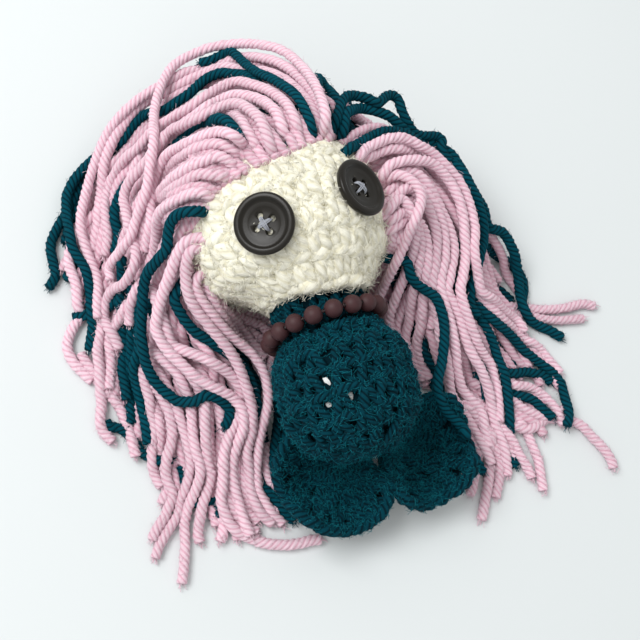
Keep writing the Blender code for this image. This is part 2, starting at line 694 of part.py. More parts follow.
def make_floor_cutter():
    """A block under the surface that the doll lies on, which flattens what has settled onto it."""
    shape = bmesh.new()
    size = 2 * (BODY_DROP + BODY_HALF_LENGTH + HEAD_RADIUS)
    bmesh.ops.create_cube(shape, size=size, matrix=Matrix.Translation((0, -BODY_DROP / 2, -size / 2)))
    mesh = bpy.data.meshes.new("floor_cutter")
    shape.to_mesh(mesh)
    shape.free()
    return add_cutter("floor_cutter", mesh)


def make_body_clearance(axis):
    outline = body_outline(-STITCHED_GAP)
    outline.insert(0, (0, outline[0][1]))
    cutter = add_cutter("body_clearance", turned_mesh("body_clearance", outline), axis)
    add_screw(cutter, BODY_STEPS)
    return cutter


clear_scene()
PARTS = make_collection("amigurumi_doll")
CUTTERS = make_collection("cutters")
CREAM_YARN = make_material("cream_yarn", CREAM, 0.95)
TEAL_YARN = make_material("teal_yarn", TEAL, 0.95)
PINK_YARN = make_material("pink_yarn", PINK, 0.95)
FIBREFILL = make_material("fibrefill", WHITE, 1.0)
BUTTON_PLASTIC = make_material("button_plastic", BUTTON_GREY, 0.35)
THREAD = make_material("thread", WHITE, 0.8)
BEAD_GLAZE = make_material("bead_glaze", PLUM, 0.45)
STRING = make_material("string", BUTTON_GREY, 0.7)

doll_axis = add_pivot("doll_axis", ALONG_THE_DOLL)
floor_cutter = make_floor_cutter()
make_head(doll_axis, floor_cutter)
make_body(doll_axis)
make_lobes(make_body_clearance(doll_axis), floor_cutter)
make_button("right", math.radians(-BUTTON_RIGHT_TURN_DEG), BUTTON_RIGHT_DROP, BUTTON_RIGHT_SPIN_DEG)
make_button("left", math.radians(BUTTON_LEFT_TURN_DEG), BUTTON_LEFT_DROP, BUTTON_LEFT_SPIN_DEG)
make_necklace(doll_axis)
print_least_gap(make_hair())
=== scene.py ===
"""Looks of the amigurumi doll: crochet head, body and tail, buttons, beads and plied yarn hair.

Lengths are in millimetres of the doll's frame until a mesh is made. A route along the hair is
drawn in pixels of the photograph, lifted onto the height that the hair has over that place, and
spread out until its strands lie on each other.
"""
import math

import bmesh
import bpy
import numpy as np
from mathutils import Matrix, Vector, noise
from mathutils.kdtree import KDTree


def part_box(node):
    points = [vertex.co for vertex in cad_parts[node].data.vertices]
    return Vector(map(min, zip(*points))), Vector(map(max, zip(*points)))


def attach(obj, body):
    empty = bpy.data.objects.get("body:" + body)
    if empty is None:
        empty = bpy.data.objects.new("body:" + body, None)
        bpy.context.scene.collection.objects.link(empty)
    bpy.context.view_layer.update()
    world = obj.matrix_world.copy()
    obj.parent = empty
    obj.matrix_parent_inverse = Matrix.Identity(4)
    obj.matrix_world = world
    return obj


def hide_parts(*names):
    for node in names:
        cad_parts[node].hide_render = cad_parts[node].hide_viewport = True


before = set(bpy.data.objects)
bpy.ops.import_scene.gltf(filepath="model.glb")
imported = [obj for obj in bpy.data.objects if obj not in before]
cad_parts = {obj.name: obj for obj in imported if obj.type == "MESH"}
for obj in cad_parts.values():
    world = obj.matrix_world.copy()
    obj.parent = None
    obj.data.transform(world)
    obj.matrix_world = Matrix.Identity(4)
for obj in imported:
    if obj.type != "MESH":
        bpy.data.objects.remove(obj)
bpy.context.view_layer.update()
MM = 0.001
RANDOM = np.random.default_rng(7)

# The photograph's camera
IMAGE_MIDDLE = 320
FOCAL_PIXELS = 1000
SENSOR_WIDTH = 36
IMAGE_SIZE = 640
CAMERA_PLACE = np.array((-91.18, -109.80, 326.40))
CAMERA_RIGHT = np.array((0.92594, -0.32070, 0.19948))
CAMERA_UP = np.array((0.24932, 0.91577, 0.31498))
CAMERA_BACK = np.array((-0.28369, -0.24192, 0.92790))

# Forms of the doll, as the frame has them
AXIS_HEIGHT = 30.5
HEAD_RADIUS = 31.0
HEAD_HALF_HEIGHT = 25.0
HEAD_SQUARENESS = 2.6
HEAD_OPENING_RADIUS = 16.0
NECK_RADIUS = 15.0
NECK_TOP = -23.6
SEAM_DROP = 25.0
BODY_RADIUS = 22.5
BODY_HALF_LENGTH = 22.5
BODY_SQUARENESS = 2.4
BODY_DROP = 56.0
LOBE_HALF_WIDTH = 15.6
LOBE_HALF_LENGTH = 20.0
LOBE_SQUARENESS = 2.3
LOBE_SPREAD = math.radians(43)
LOBE_DROP = 81.5
LOBE_SHIFT = 7.0
LOBE_SPACING = 17.4
LOBE_RISE = 10.0
LOBE_BASE_HEIGHT = 1.3
BEAD_COUNT = 18
BEAD_RADIUS = 2.9
BEAD_BORE_RADIUS = 0.75
NECKLACE_RADIUS = 18.4
NECKLACE_DROP = 35.0
NECKLACE_SPIN = math.radians(-3.5)
STRING_RADIUS = 0.45
BUTTON_RADIUS = 9.5

# Yarn
YARN_RADIUS = 1.65
YARN_LAY = 8.0  # along the yarn, for one turn of its plies
PLIES = 4
HEAD_YARN_RADIUS = 2.6
BODY_YARN_RADIUS = 1.65

# Where the head stands out on the doll's right, and where its chin hangs
BULGE_START = 16.0
BULGE_LENGTH = 16.0
BULGE_REACH = 4.6
CHIN_START = 14.0
CHIN_LENGTH = 11.0
CHIN_REACH = 2.3

# Lowest points of loose fibres, stitches and strands over the floor
FIBRE_CLEARANCE = 0.05
STITCH_CLEARANCE = 0.02
LOCK_CLEARANCE = 0.03
TUFT_CLEARANCE = 0.12
SHEET_CLEARANCE = 0.05


# Smooth paths and tubes of plied yarn

KNOT_STEPS = 12
BLUNT_SHARE = 0.86  # of the yarn's radius, at a cut end
# The middle of a cut end takes partly the yarn's painted groove shade.
CUT_END_PLY = 0.4  # how light the middle of a cut end is
LAY_SHIFT = 50  # between the fibre grain of one strand and another's


def unit(vectors):
    return vectors / np.maximum(np.linalg.norm(vectors, axis=-1, keepdims=True), 1e-9)


def keep_above(points, height):
    """Raises the points that lie lower than a height to it."""
    points[..., 2] = np.maximum(points[..., 2], height)


def grid_quads(index):
    """Faces between the rows of a grid of point numbers whose rows close on themselves."""
    after = np.roll(index, -1, axis=1)
    return np.stack([index[:-1], index[1:], after[1:], after[:-1]], axis=-1).reshape(-1, 4)


def smooth_path(knots, count):
    """Points at even steps of length along a smooth curve through the knots."""
    knots = np.asarray(knots, float)
    knots = np.vstack([2 * knots[0] - knots[1], knots, 2 * knots[-1] - knots[-2]])
    fine = []
    t = np.linspace(0, 1, KNOT_STEPS, endpoint=False)[:, None]
    for before, start, end, after in zip(knots, knots[1:], knots[2:], knots[3:]):
        square = 2 * before - 5 * start + 4 * end - after
        cube = 3 * start - before - 3 * end + after
        fine.append(start + ((end - before) * t + square * t**2 + cube * t**3) / 2)
    fine = np.vstack([*fine, knots[-2]])
    steps = np.concatenate([[0], np.cumsum(np.linalg.norm(np.diff(fine, axis=0), axis=1))])
    wanted = np.linspace(0, steps[-1], count)
    return np.stack([np.interp(wanted, steps, fine[:, k]) for k in range(fine.shape[1])], axis=1)


def frames_along(paths):
    """Tangents, normals and binormals that turn as little as they can along each path."""
    tangents = unit(np.gradient(paths, axis=1))
    normals = np.empty_like(paths)
    first = tangents[:, 0]
    helper = np.where(np.abs(first[:, 2:]) < 0.8, (0.0, 0.0, 1.0), (1.0, 0.0, 0.0))
    normals[:, 0] = unit(np.cross(first, helper))
    for i in range(1, paths.shape[1]):
        carried = normals[:, i - 1]
        along = (carried * tangents[:, i]).sum(axis=1, keepdims=True)
        normals[:, i] = unit(carried - along * tangents[:, i])
    return tangents, normals, np.cross(tangents, normals)


def yarn_tubes(paths, radius, sides=16, plies=PLIES, lay=YARN_LAY, groove=0.2, uneven=0.05,
               blunt=True, closed=False):
    """Vertices, faces and point values of twisted yarn along many paths of equal point count."""
    strands, count = paths.shape[:2]
    if closed:
        wrapped = np.concatenate([paths[:, -1:], paths, paths[:, :1]], axis=1)
        tangents, normals, binormals = (part[:, 1:-1] for part in frames_along(wrapped))
    else:
        tangents, normals, binormals = frames_along(paths)
    steps = np.linalg.norm(np.diff(paths, axis=1), axis=2)
    length = np.concatenate([np.zeros((strands, 1)), np.cumsum(steps, axis=1)], axis=1)
    around = 2 * math.pi * np.arange(sides) / sides
    phase = RANDOM.uniform(0, 2 * math.pi, (strands, 1, 1))
    angle = around + phase - 2 * math.pi * length[:, :, None] / lay
    lobe = np.abs(np.sin(around * plies / 2)) ** 0.7 if plies else np.ones(sides)
    rough = RANDOM.normal(0, 1, (strands, count, sides))
    rough = (rough + np.roll(rough, 1, 1) + np.roll(rough, -1, 1) + np.roll(rough, 1, 2)) / 2
    size = np.broadcast_to(np.asarray(radius, float).reshape(-1, 1, 1), (strands, 1, 1))
    reach = size * (1 - groove + groove * lobe) * (1 + uneven * rough)
    if blunt and not closed:
        reach[:, 0] *= BLUNT_SHARE
        reach[:, -1] *= BLUNT_SHARE
    ring = (np.cos(angle)[..., None] * normals[:, :, None]
            + np.sin(angle)[..., None] * binormals[:, :, None])
    points = paths[:, :, None] + reach[..., None] * ring
    index = np.arange(strands * count * sides).reshape(strands, count, sides)
    after = np.roll(index, -1, axis=2)
    if closed:
        following, following_after = np.roll(index, -1, axis=1), np.roll(after, -1, axis=1)
        quads = np.stack([index, after, following_after, following], axis=-1)
    else:
        quads = np.stack([index[:, :-1], after[:, :-1], after[:, 1:], index[:, 1:]], axis=-1)
    value = {
        "ply": np.broadcast_to(lobe, index.shape).ravel(),
        "strand": np.broadcast_to(RANDOM.random((strands, 1, 1)), index.shape).ravel(),
        "lay": np.stack([
            np.broadcast_to(length[:, :, None] + phase * LAY_SHIFT, index.shape),
            np.broadcast_to(around * size, index.shape),
            np.zeros(index.shape),
        ], axis=-1).reshape(-1, 3),
    }
    vertices = points.reshape(-1, 3)
    faces = [quads.reshape(-1, 4)]
    outward = ring.reshape(-1, 3)
    if not closed:
        middles = np.concatenate([paths[:, 0], paths[:, -1]])
        base = len(vertices)
        starts = base + np.arange(strands)[:, None]
        ends = starts + strands
        starts, ends = (np.broadcast_to(number, (strands, sides)) for number in (starts, ends))
        first = np.stack([after[:, 0], index[:, 0], starts], axis=-1)
        last = np.stack([index[:, -1], after[:, -1], ends], axis=-1)
        faces += [first.reshape(-1, 3), last.reshape(-1, 3)]
        vertices = np.vstack([vertices, middles])
        outward = np.vstack([outward, -tangents[:, 0], tangents[:, -1]])
        value["ply"] = np.concatenate([value["ply"], np.full(2 * strands, CUT_END_PLY)])
        value["strand"] = np.concatenate([value["strand"], np.zeros(2 * strands)])
        value["lay"] = np.vstack([value["lay"], np.zeros((2 * strands, 3))])
    return {"vertices": vertices, "faces": faces, "outward": outward, "value": value}


def joined(parts):
    """Several sets of tubes as one."""
    base, vertices, faces, outward = 0, [], [], []
    for part in parts:
        vertices.append(part["vertices"])
        outward.append(part["outward"])
        faces += [group + base for group in part["faces"]]
        base += len(part["vertices"])
    value = {key: np.concatenate([part["value"][key] for part in parts]) for key in parts[0]["value"]}
    return {
        "vertices": np.vstack(vertices),
        "faces": faces,
        "outward": np.vstack(outward),
        "value": value,
    }


FIBRE_SIDES = 3
FIBRE_LENGTHS = (0.4, 1.0)  # as shares of the reach
FIBRE_SHARES = (0.35, 0.7, 1.0)
FIBRE_ROOT_DEPTH = 0.15
FIBRE_BEND = 0.35
FIBRE_LAID_SHARE = 0.6  # of the lift, lost by a fibre's tip
FACING_LEAST = 0.25


def fuzz(part, count, reach, thickness, lift=0.5, middle=None):
    """Loose fibres that stand off the yarn, as thin tubes, on the sides that face away from a middle."""
    seen = np.arange(len(part["vertices"]))
    if middle is not None:
        away = unit(part["vertices"] - middle)
        seen = np.nonzero((part["outward"] * away).sum(axis=1) > FACING_LEAST)[0]
    chosen = RANDOM.choice(seen, count)
    start = part["vertices"][chosen]
    outward = unit(part["outward"][chosen])
    sideways = unit(np.cross(outward, RANDOM.normal(0, 1, (count, 3))))
    length = RANDOM.uniform(*FIBRE_LENGTHS, (count, 1)) * reach
    bend = unit(RANDOM.normal(0, 1, (count, 3))) * FIBRE_BEND
    points = [start - outward * FIBRE_ROOT_DEPTH]
    for share in FIBRE_SHARES:
        way = sideways + outward * lift * (1 - FIBRE_LAID_SHARE * share) + bend * share
        points.append(start + way * length * share)
    paths = np.stack(points, axis=1)
    keep_above(paths, FIBRE_CLEARANCE)
    radii = np.full(count, thickness)
    return yarn_tubes(paths, radii, sides=FIBRE_SIDES, plies=0, groove=0.0, uneven=0.0, blunt=False)


def make_mesh(name, part):
    mesh = bpy.data.meshes.new(name)
    vertices = part["vertices"] * MM
    mesh.vertices.add(len(vertices))
    mesh.vertices.foreach_set("co", vertices.astype(np.float32).ravel())
    loops = np.concatenate([group.ravel() for group in part["faces"]])
    totals = np.concatenate([np.full(len(group), group.shape[1]) for group in part["faces"]])
    mesh.loops.add(len(loops))
    mesh.loops.foreach_set("vertex_index", loops.astype(np.int32))
    mesh.polygons.add(len(totals))
    starts = np.concatenate([[0], np.cumsum(totals)[:-1]])
    mesh.polygons.foreach_set("loop_start", starts.astype(np.int32))
    mesh.update(calc_edges=True)
    mesh.shade_smooth()
    for key, data in part["value"].items():
        kind = "FLOAT_VECTOR" if data.ndim == 2 else "FLOAT"
        field = "vector" if data.ndim == 2 else "value"
        attribute = mesh.attributes.new(key, kind, "POINT")
        attribute.data.foreach_set(field, data.astype(np.float32).ravel())
    return mesh


def add_piece(name, mesh, material, body, replaces=()):
    """Puts a piece in the scene. It rides a body and takes the place of the solids named."""
    piece = bpy.data.objects.new(name, mesh)
    bpy.context.scene.collection.objects.link(piece)
    mesh.materials.append(material)
    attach(piece, body)
    if replaces:
        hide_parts(*replaces)
    return piece


def add_yarn(name, part, material, replaces=()):
    """Puts a piece made of yarn or fibres in the scene, on the doll itself."""
    add_piece(name, make_mesh(name, part), material, "doll", replaces)


# Materials

def new_material(name):
    material = bpy.data.materials.new(name)
    material.use_nodes = True
    nodes, links = material.node_tree.nodes, material.node_tree.links
    return material, nodes, links, nodes["Principled BSDF"]


def new_node(nodes, kind, **values):
    """A shader node with some of its inputs set. In their names, an underscore stands for a space."""
    made = nodes.new("ShaderNode" + kind)
    for name, value in values.items():
        made.inputs[name.replace("_", " ")].default_value = value
    return made


def point_value(nodes, name):
    made = nodes.new("ShaderNodeAttribute")
    made.attribute_name = name
    return made


def new_mix(nodes, first, second):
    mix = nodes.new("ShaderNodeMix")
    mix.data_type = "RGBA"
    mix.inputs["A"].default_value = (*first, 1)
    mix.inputs["B"].default_value = (*second, 1)
    return mix


def add_relief(nodes, links, shader, height, strength, distance):
    relief = new_node(nodes, "Bump", Strength=strength, Distance=distance * MM)
    links.new(height.outputs["Fac"], relief.inputs["Height"])
    links.new(relief.outputs["Normal"], shader.inputs["Normal"])


YARN_RELIEF = 0.25
YARN_SPECULAR = 0.08
PLAIN_RELIEF = 0.1


def yarn_material(name, colour, shade, roughness=0.9, sheen=0.25, bump=0.35):
    """Acrylic yarn: grooves between the plies are painted a deeper colour, a painted shade for the shade
    that falls in them, and fibres run along them.
    """
    material, nodes, links, shader = new_material(name)
    depth = new_node(nodes, "MapRange", From_Min=0.1, From_Max=0.85)
    links.new(point_value(nodes, "ply").outputs["Fac"], depth.inputs["Value"])
    # Painted shade: the groove colour, mixed in where a point lies deep between the plies.
    mix = new_mix(nodes, shade, colour)
    links.new(depth.outputs["Result"], mix.inputs["Factor"])
    fibres = new_node(nodes, "Mapping", Scale=(0.55, 3.2, 1))
    links.new(point_value(nodes, "lay").outputs["Vector"], fibres.inputs["Vector"])
    grain = new_node(nodes, "TexNoise", Scale=1.6, Detail=3)
    links.new(fibres.outputs["Vector"], grain.inputs["Vector"])
    level = new_node(nodes, "MapRange", To_Min=0.90, To_Max=1.07)
    links.new(point_value(nodes, "strand").outputs["Fac"], level.inputs["Value"])
    streak = new_node(nodes, "MapRange", From_Min=0.3, From_Max=0.7, To_Min=0.82, To_Max=1.12)
    links.new(grain.outputs["Fac"], streak.inputs["Value"])
    product = nodes.new("ShaderNodeMath")
    product.operation = "MULTIPLY"
    links.new(level.outputs["Result"], product.inputs[0])
    links.new(streak.outputs["Result"], product.inputs[1])
    tone = nodes.new("ShaderNodeHueSaturation")
    links.new(product.outputs["Value"], tone.inputs["Value"])
    links.new(mix.outputs["Result"], tone.inputs["Color"])
    links.new(tone.outputs["Color"], shader.inputs["Base Color"])
    add_relief(nodes, links, shader, grain, bump, YARN_RELIEF)
    shader.inputs["Roughness"].default_value = roughness
    shader.inputs["Sheen Weight"].default_value = sheen
    shader.inputs["Sheen Roughness"].default_value = 0.5
    shader.inputs["Sheen Tint"].default_value = (*(level**0.5 for level in colour), 1)
    shader.inputs["Specular IOR Level"].default_value = YARN_SPECULAR
    return material


def plain_material(name, colour, other, scale, roughness, bump=0.0, specular=0.5):
    """A mottled surface: two near colours in a fine noise, and a little relief."""
    material, nodes, links, shader = new_material(name)
    place = nodes.new("ShaderNodeTexCoord")
    spots = new_node(nodes, "TexNoise", Scale=scale, Detail=5)
    links.new(place.outputs["Object"], spots.inputs["Vector"])
    mix = new_mix(nodes, colour, other)
    links.new(spots.outputs["Fac"], mix.inputs["Factor"])
    links.new(mix.outputs["Result"], shader.inputs["Base Color"])
    add_relief(nodes, links, shader, spots, bump, PLAIN_RELIEF)
    shader.inputs["Roughness"].default_value = roughness
    shader.inputs["Specular IOR Level"].default_value = specular
    return material


# Yarns: name, colour, and the colour in the grooves between the plies, which is painted shade
PINK = yarn_material("pink_acrylic_yarn", (0.78, 0.575, 0.65), (0.67, 0.37, 0.46), bump=0.6)
TEAL = yarn_material("teal_acrylic_yarn", (0.0005, 0.058, 0.084), (0.0003, 0.012, 0.019), sheen=0.02)
STITCHED_TEAL = yarn_material("teal_crochet", (0.0005, 0.042, 0.062), (0.0002, 0.010, 0.016),
                              sheen=0.02, bump=0.9)
# A lighter teal for the loose fibres: painted highlight, for the light that the fibres catch.
TEAL_FIBRES_PAINTED_HIGHLIGHT = yarn_material("teal_fibres", (0.006, 0.145, 0.185), (0.003, 0.10, 0.13), sheen=0.05)
CREAM = yarn_material("cream_fluffy_yarn", (0.905, 0.88, 0.75), (0.82, 0.78, 0.60), bump=0.8)

# Other materials: name, two colours, scale of the noise, roughness, bump and specular level
FIBREFILL = plain_material("white_fibrefill", (0.86, 0.87, 0.86), (0.75, 0.77, 0.77), 900, 1.0, 0.5)
PLASTIC = plain_material("button_grey_plastic", (0.015, 0.013, 0.010), (0.011, 0.0095, 0.0075),
                         300, 0.28, 0.02, 0.22)
THREAD = plain_material("white_sewing_thread", (0.50, 0.52, 0.57), (0.30, 0.32, 0.37), 1500, 0.8, 0.4)
BEAD = plain_material("dusty_plum_beads", (0.060, 0.021, 0.023), (0.037, 0.014, 0.016),
                      700, 0.55, 0.3, 0.3)
SEED = plain_material("dark_seed_beads", (0.028, 0.008, 0.010), (0.016, 0.006, 0.007), 500, 0.08, 0.0)
STRING = plain_material("black_string", (0.02, 0.018, 0.018), (0.035, 0.03, 0.03), 1200, 0.7, 0.3)


# The doll's turned forms

AXIS_CLEARANCE = 0.05
OUTLINE_STEPS = 721
COLLAR_POINTS = 30
NECK_POINTS = 12


class Turned:
    """A form turned about the doll's axis, measured along its outline from the crown end."""

    def __init__(self, outline):
        self.outline = np.asarray(outline, float)
        steps = np.linalg.norm(np.diff(self.outline, axis=0), axis=1)
        self.lengths = np.concatenate([[0], np.cumsum(steps)])
        slopes = unit(np.gradient(self.outline, axis=0))
        self.outs = np.stack([-slopes[:, 1], slopes[:, 0]], axis=1)

    def radius(self, along):
        return np.interp(along, self.lengths, self.outline[:, 0])

    def place(self, along, turn, out):
        across = np.interp(along, self.lengths, self.outline[:, 0])
        height = np.interp(along, self.lengths, self.outline[:, 1])
        out_across = np.interp(along, self.lengths, self.outs[:, 0])
        out_up = np.interp(along, self.lengths, self.outs[:, 1])
        distance = np.maximum(across + out * out_across, AXIS_CLEARANCE)
        x, z = distance * np.sin(turn), AXIS_HEIGHT + distance * np.cos(turn)
        return np.stack([x, height + out * out_up, z], axis=-1)


def swell(radius, half_height, squareness, last_radius):
    """A swelling form's outline from its pole to where it opens."""
    angle = np.linspace(0, math.pi, OUTLINE_STEPS)
    cosine = np.cos(angle)
    across = radius * np.abs(np.sin(angle)) ** (2 / squareness)
    up = half_height * np.sign(cosine) * np.abs(cosine) ** (2 / squareness)
    keep = (angle < math.pi / 2) | (across >= last_radius)
    return np.stack([across, up], axis=1)[keep]


# The head narrows to the neck in a collar, whose places are (radius, height)
COLLAR = ((22.6, -20.7), (19.4, -24.2), (16.3, -27.6))
COLLAR_START_RADIUS = 25.0
HEAD_BALL = swell(HEAD_RADIUS, HEAD_HALF_HEIGHT, HEAD_SQUARENESS, COLLAR_START_RADIUS)
HEAD_COLLAR = smooth_path([HEAD_BALL[-1], *COLLAR], COLLAR_POINTS)[1:]
HEAD_FORM = Turned(np.vstack([HEAD_BALL, HEAD_COLLAR]))
STUFFED_HEAD_FORM = Turned(swell(HEAD_RADIUS, HEAD_HALF_HEIGHT, HEAD_SQUARENESS, HEAD_OPENING_RADIUS))
BALL = swell(BODY_RADIUS, BODY_HALF_LENGTH, BODY_SQUARENESS, NECK_RADIUS)[::-1] * (1, -1)
NECK_LINE = np.stack([np.full(NECK_POINTS, NECK_RADIUS),
                      np.linspace(NECK_TOP, -BODY_DROP + BALL[0][1] + 1, NECK_POINTS)], axis=1)
BODY_FORM = Turned(np.vstack([NECK_LINE, BALL + (0, -BODY_DROP)]))


# Crochet. A stitch is two legs that spread from the stitch below, with a loop lying across their
# tops. Points are (share of the pitch, share of the row, depth in yarn radii).

LEG = ((0.02, -0.14, -2.3), (-0.09, 0.06, -1.35), (-0.20, 0.38, -1.0), (-0.30, 0.72, -1.15),
       (-0.36, 1.0, -2.2))
OTHER_LEG = tuple((-across, along, depth) for across, along, depth in LEG)
LOOP = ((-0.62, 0.99, -2.0), (-0.36, 0.95, -1.3), (0.0, 0.92, -0.98), (0.34, 0.98, -1.25),
        (0.62, 1.08, -2.0))
STITCH_POINTS = 15
STITCH_SIDES = 12
STITCH_UNEVEN = 0.06
STITCH_LAY = 7.0  # for yarn of the hair's radius
RADIUS_SPREAD = 0.05
HEIGHT_WOBBLE_SHARE = 0.7
DEPTH_WOBBLE = 4  # yarns' depth, for each unit of wobble


def crochet(form, rows, radius, wobble=0.05, fattest=0.31, tallest=0.36, proud=0.0, groove=0.16):
    """Rows of stitches. Each row is (start, height, stitches, turn of the first gap in degrees)."""
    paths, radii = [], []
    curves = [smooth_path(knots, STITCH_POINTS) for knots in (LEG, OTHER_LEG, LOOP)]
    for start, height, stitches, gap_turn in rows:
        pitch = 2 * math.pi / stitches
        across = max(form.radius(start), form.radius(start + height)) * pitch
        thick = min(radius, across * fattest, height * tallest)
        for i in range(stitches):
            middle = math.radians(gap_turn) + (i + 0.5) * pitch
            shift = RANDOM.normal(0, wobble, 3)
            for curve in curves:
                a = curve[:, 0] * (1 + shift[2]) + shift[0]
                b = curve[:, 1] + shift[1] * HEIGHT_WOBBLE_SHARE
                along = np.clip(start + height * b, 0, form.lengths[-1])
                out = curve[:, 2] * thick + proud + RANDOM.normal(0, wobble * DEPTH_WOBBLE)
                paths.append(form.place(along, a * pitch + middle, out))
                radii.append(thick * (1 + RANDOM.normal(0, RADIUS_SPREAD)))
    return yarn_tubes(np.array(paths), np.array(radii), sides=STITCH_SIDES, groove=groove,
                      uneven=STITCH_UNEVEN, lay=STITCH_LAY * radius / YARN_RADIUS, blunt=False)


def plain_sheet(vertices, faces, ply, lay):
    """A sheet behind stitches, with the point values that yarn has."""
    count = len(vertices)
    value = {"ply": np.full(count, ply), "strand": np.full(count, 0.5), "lay": lay}
    return {"vertices": vertices, "faces": faces, "outward": np.ones((count, 3)), "value": value}


def turned_grid(form, first, last, steps):
    """Places along a form's outline and turns about its axis, as two grids."""
    along = np.linspace(first, last, steps[0])
    turns = np.linspace(0, 2 * math.pi, steps[1], endpoint=False)
    return np.meshgrid(along, turns, indexing="ij")


def lumps_at(points, scale, shape):
    """A smooth noise at the places of a grid."""
    found = [noise.noise(Vector(point) * scale) for point in points.reshape(-1, 3)]
    return np.array(found).reshape(shape)


LINING_STEPS = (60, 90)
LINING_START = 0.3
LINING_END = 0.5
LINING_THICKNESS = 0.5
# Low, so that the lining takes mostly the yarn's painted groove shade
LINING_PLY = 0.2
LINING_LUMP = 0.8
LUMP_SCALE = 0.5


def lining(form, depth):
    """The inner side of the stitches, as a lumpy sheet that closes what lies behind them. It takes
    mostly the yarn's painted groove shade, so the gaps between stitches show painted shade.
    """
    s, turn = turned_grid(form, LINING_START, form.lengths[-1] - LINING_END, LINING_STEPS)
    lumps = LINING_LUMP * lumps_at(form.place(s, turn, np.full(s.shape, -depth)), LUMP_SCALE, s.shape)
    outer = form.place(s, turn, lumps - depth).reshape(-1, 3)
    inner = form.place(s, turn, lumps - depth - LINING_THICKNESS).reshape(-1, 3)
    index = np.arange(s.size).reshape(s.shape)
    after = np.roll(index, -1, axis=1)
    quads = grid_quads(index)
    edges = [np.stack([index[row], after[row], after[row] + s.size, index[row] + s.size],
                      axis=-1)[:, ::way] for row, way in ((0, 1), (-1, -1))]
    both = np.vstack([outer, inner])
    return plain_sheet(both, [quads, quads[:, ::-1] + s.size, *edges], LINING_PLY, both.copy())


# Rows from the crown, and from the top of the neck

HEAD_ROW = 8.1
HEAD_ROWS = (
    (2.3, HEAD_ROW, 6, 20), (10.4, HEAD_ROW, 12, 8), (18.5, HEAD_ROW, 18, -5),
    (26.6, HEAD_ROW, 23, -2), (34.7, HEAD_ROW, 25, -4.5), (42.8, HEAD_ROW, 25, -6.1),
    (50.9, HEAD_ROW, 25, -8.0),
    (59.0, HEAD_ROW, 25, -9.0), (67.1, HEAD_ROW + 1.2, 22, -9.3),
)
BODY_ROW = 7.4
BODY_ROWS = (
    (2.1, BODY_ROW, 12, 3), (9.5, BODY_ROW, 12, -4), (16.9, BODY_ROW, 15, -1),
    (24.3, BODY_ROW, 17, -4.9), (31.7, BODY_ROW, 17, -10.7), (39.1, BODY_ROW, 17, -16.3),
    (46.5, BODY_ROW, 16, -20),
    (53.9, BODY_ROW, 12, -12), (61.3, BODY_ROW, 7, 4),
)


def eased(values, start, length):
    share = np.clip((values - start) / length, 0, 1)
    return share * share * (3 - 2 * share)


def bulged(part):
    """The head stands out further on the doll's right, and its chin hangs a little at the front."""
    points = part["vertices"]
    points[:, 0] -= BULGE_REACH * eased(-points[:, 0], BULGE_START, BULGE_LENGTH)
    low = eased(-points[:, 1], CHIN_START, CHIN_LENGTH)
    forward = np.clip((points[:, 2] - AXIS_HEIGHT) / HEAD_OPENING_RADIUS, -0.4, 1)
    aside = np.minimum(points[:, 0], 0) / HEAD_OPENING_RADIUS
    points[:, 1] -= CHIN_REACH * low * (forward + aside)
    return part


HEAD_MIDDLE = (0, 0, AXIS_HEIGHT)
BODY_MIDDLE = (0, -BODY_DROP, AXIS_HEIGHT)
HEAD_LINING_DEPTH = 1.5
BODY_LINING_DEPTH = 3.1
FIBRE_COUNT = 12800
TEAL_FIBRE_REACH = 2.0
TEAL_FIBRE_THICKNESS = 0.07
HEAD_FIBRES = (("head_fuzz", 3.4, 0.085), ("head_down", 2.4, 0.11))  # name, reach, thickness


def make_head():
    yarn = bulged(crochet(HEAD_FORM, HEAD_ROWS, HEAD_YARN_RADIUS, fattest=0.37, tallest=0.41,
                          proud=0.8, groove=0.06))
    whole = joined([yarn, bulged(lining(HEAD_FORM, HEAD_LINING_DEPTH))])
    add_yarn("head_crochet", whole, CREAM, ["head_shell"])
    for name, reach, thickness in HEAD_FIBRES:
        loose = fuzz(yarn, FIBRE_COUNT, reach, thickness, lift=0.75, middle=HEAD_MIDDLE)
        add_yarn(name, loose, CREAM)


SEAM_RADIUS = 15.4
SEAM_YARN_RADIUS = 1.0
SEAM_WAVE = 0.35
SEAM_WAVES = 30
SEAM_POINTS = 200


def make_body():
    yarn = crochet(BODY_FORM, BODY_ROWS, BODY_YARN_RADIUS, wobble=0.12, proud=0.3)
    whole = joined([yarn, lining(BODY_FORM, BODY_LINING_DEPTH)])
    add_yarn("body_crochet", whole, STITCHED_TEAL, ["body_shell", "neck_band"])
    loose = fuzz(yarn, FIBRE_COUNT, TEAL_FIBRE_REACH, TEAL_FIBRE_THICKNESS, middle=BODY_MIDDLE)
    # The loose fibres are a lighter teal: painted highlight.
    add_yarn("body_fuzz", loose, TEAL_FIBRES_PAINTED_HIGHLIGHT)
    angle = np.linspace(0, 2 * math.pi, SEAM_POINTS, endpoint=False)
    radius = SEAM_RADIUS + SEAM_WAVE * np.sin(SEAM_WAVES * angle)
    height = -SEAM_DROP + SEAM_WAVE * np.cos(SEAM_WAVES * angle)
    ring = np.stack([radius * np.sin(angle), height, AXIS_HEIGHT + radius * np.cos(angle)], axis=1)
    seam = yarn_tubes(ring[None], SEAM_YARN_RADIUS, sides=STITCH_SIDES, closed=True)
    add_yarn("neck_seam_yarn", seam, CREAM, ["neck_seam"])


# Fibrefill, which shows between the stitches

STUFFING_GAPS = ((-10.7, 33.9), (-31.9, 33.9), (-16.3, 41.3), (-37.5, 41.3))
STUFFING_BUMP = 2.0
BUMP_WIDTH = 2.2
BUMP_LENGTH = 2.4
WISP_REACH = 0.7
WISP_SCALE = 0.45


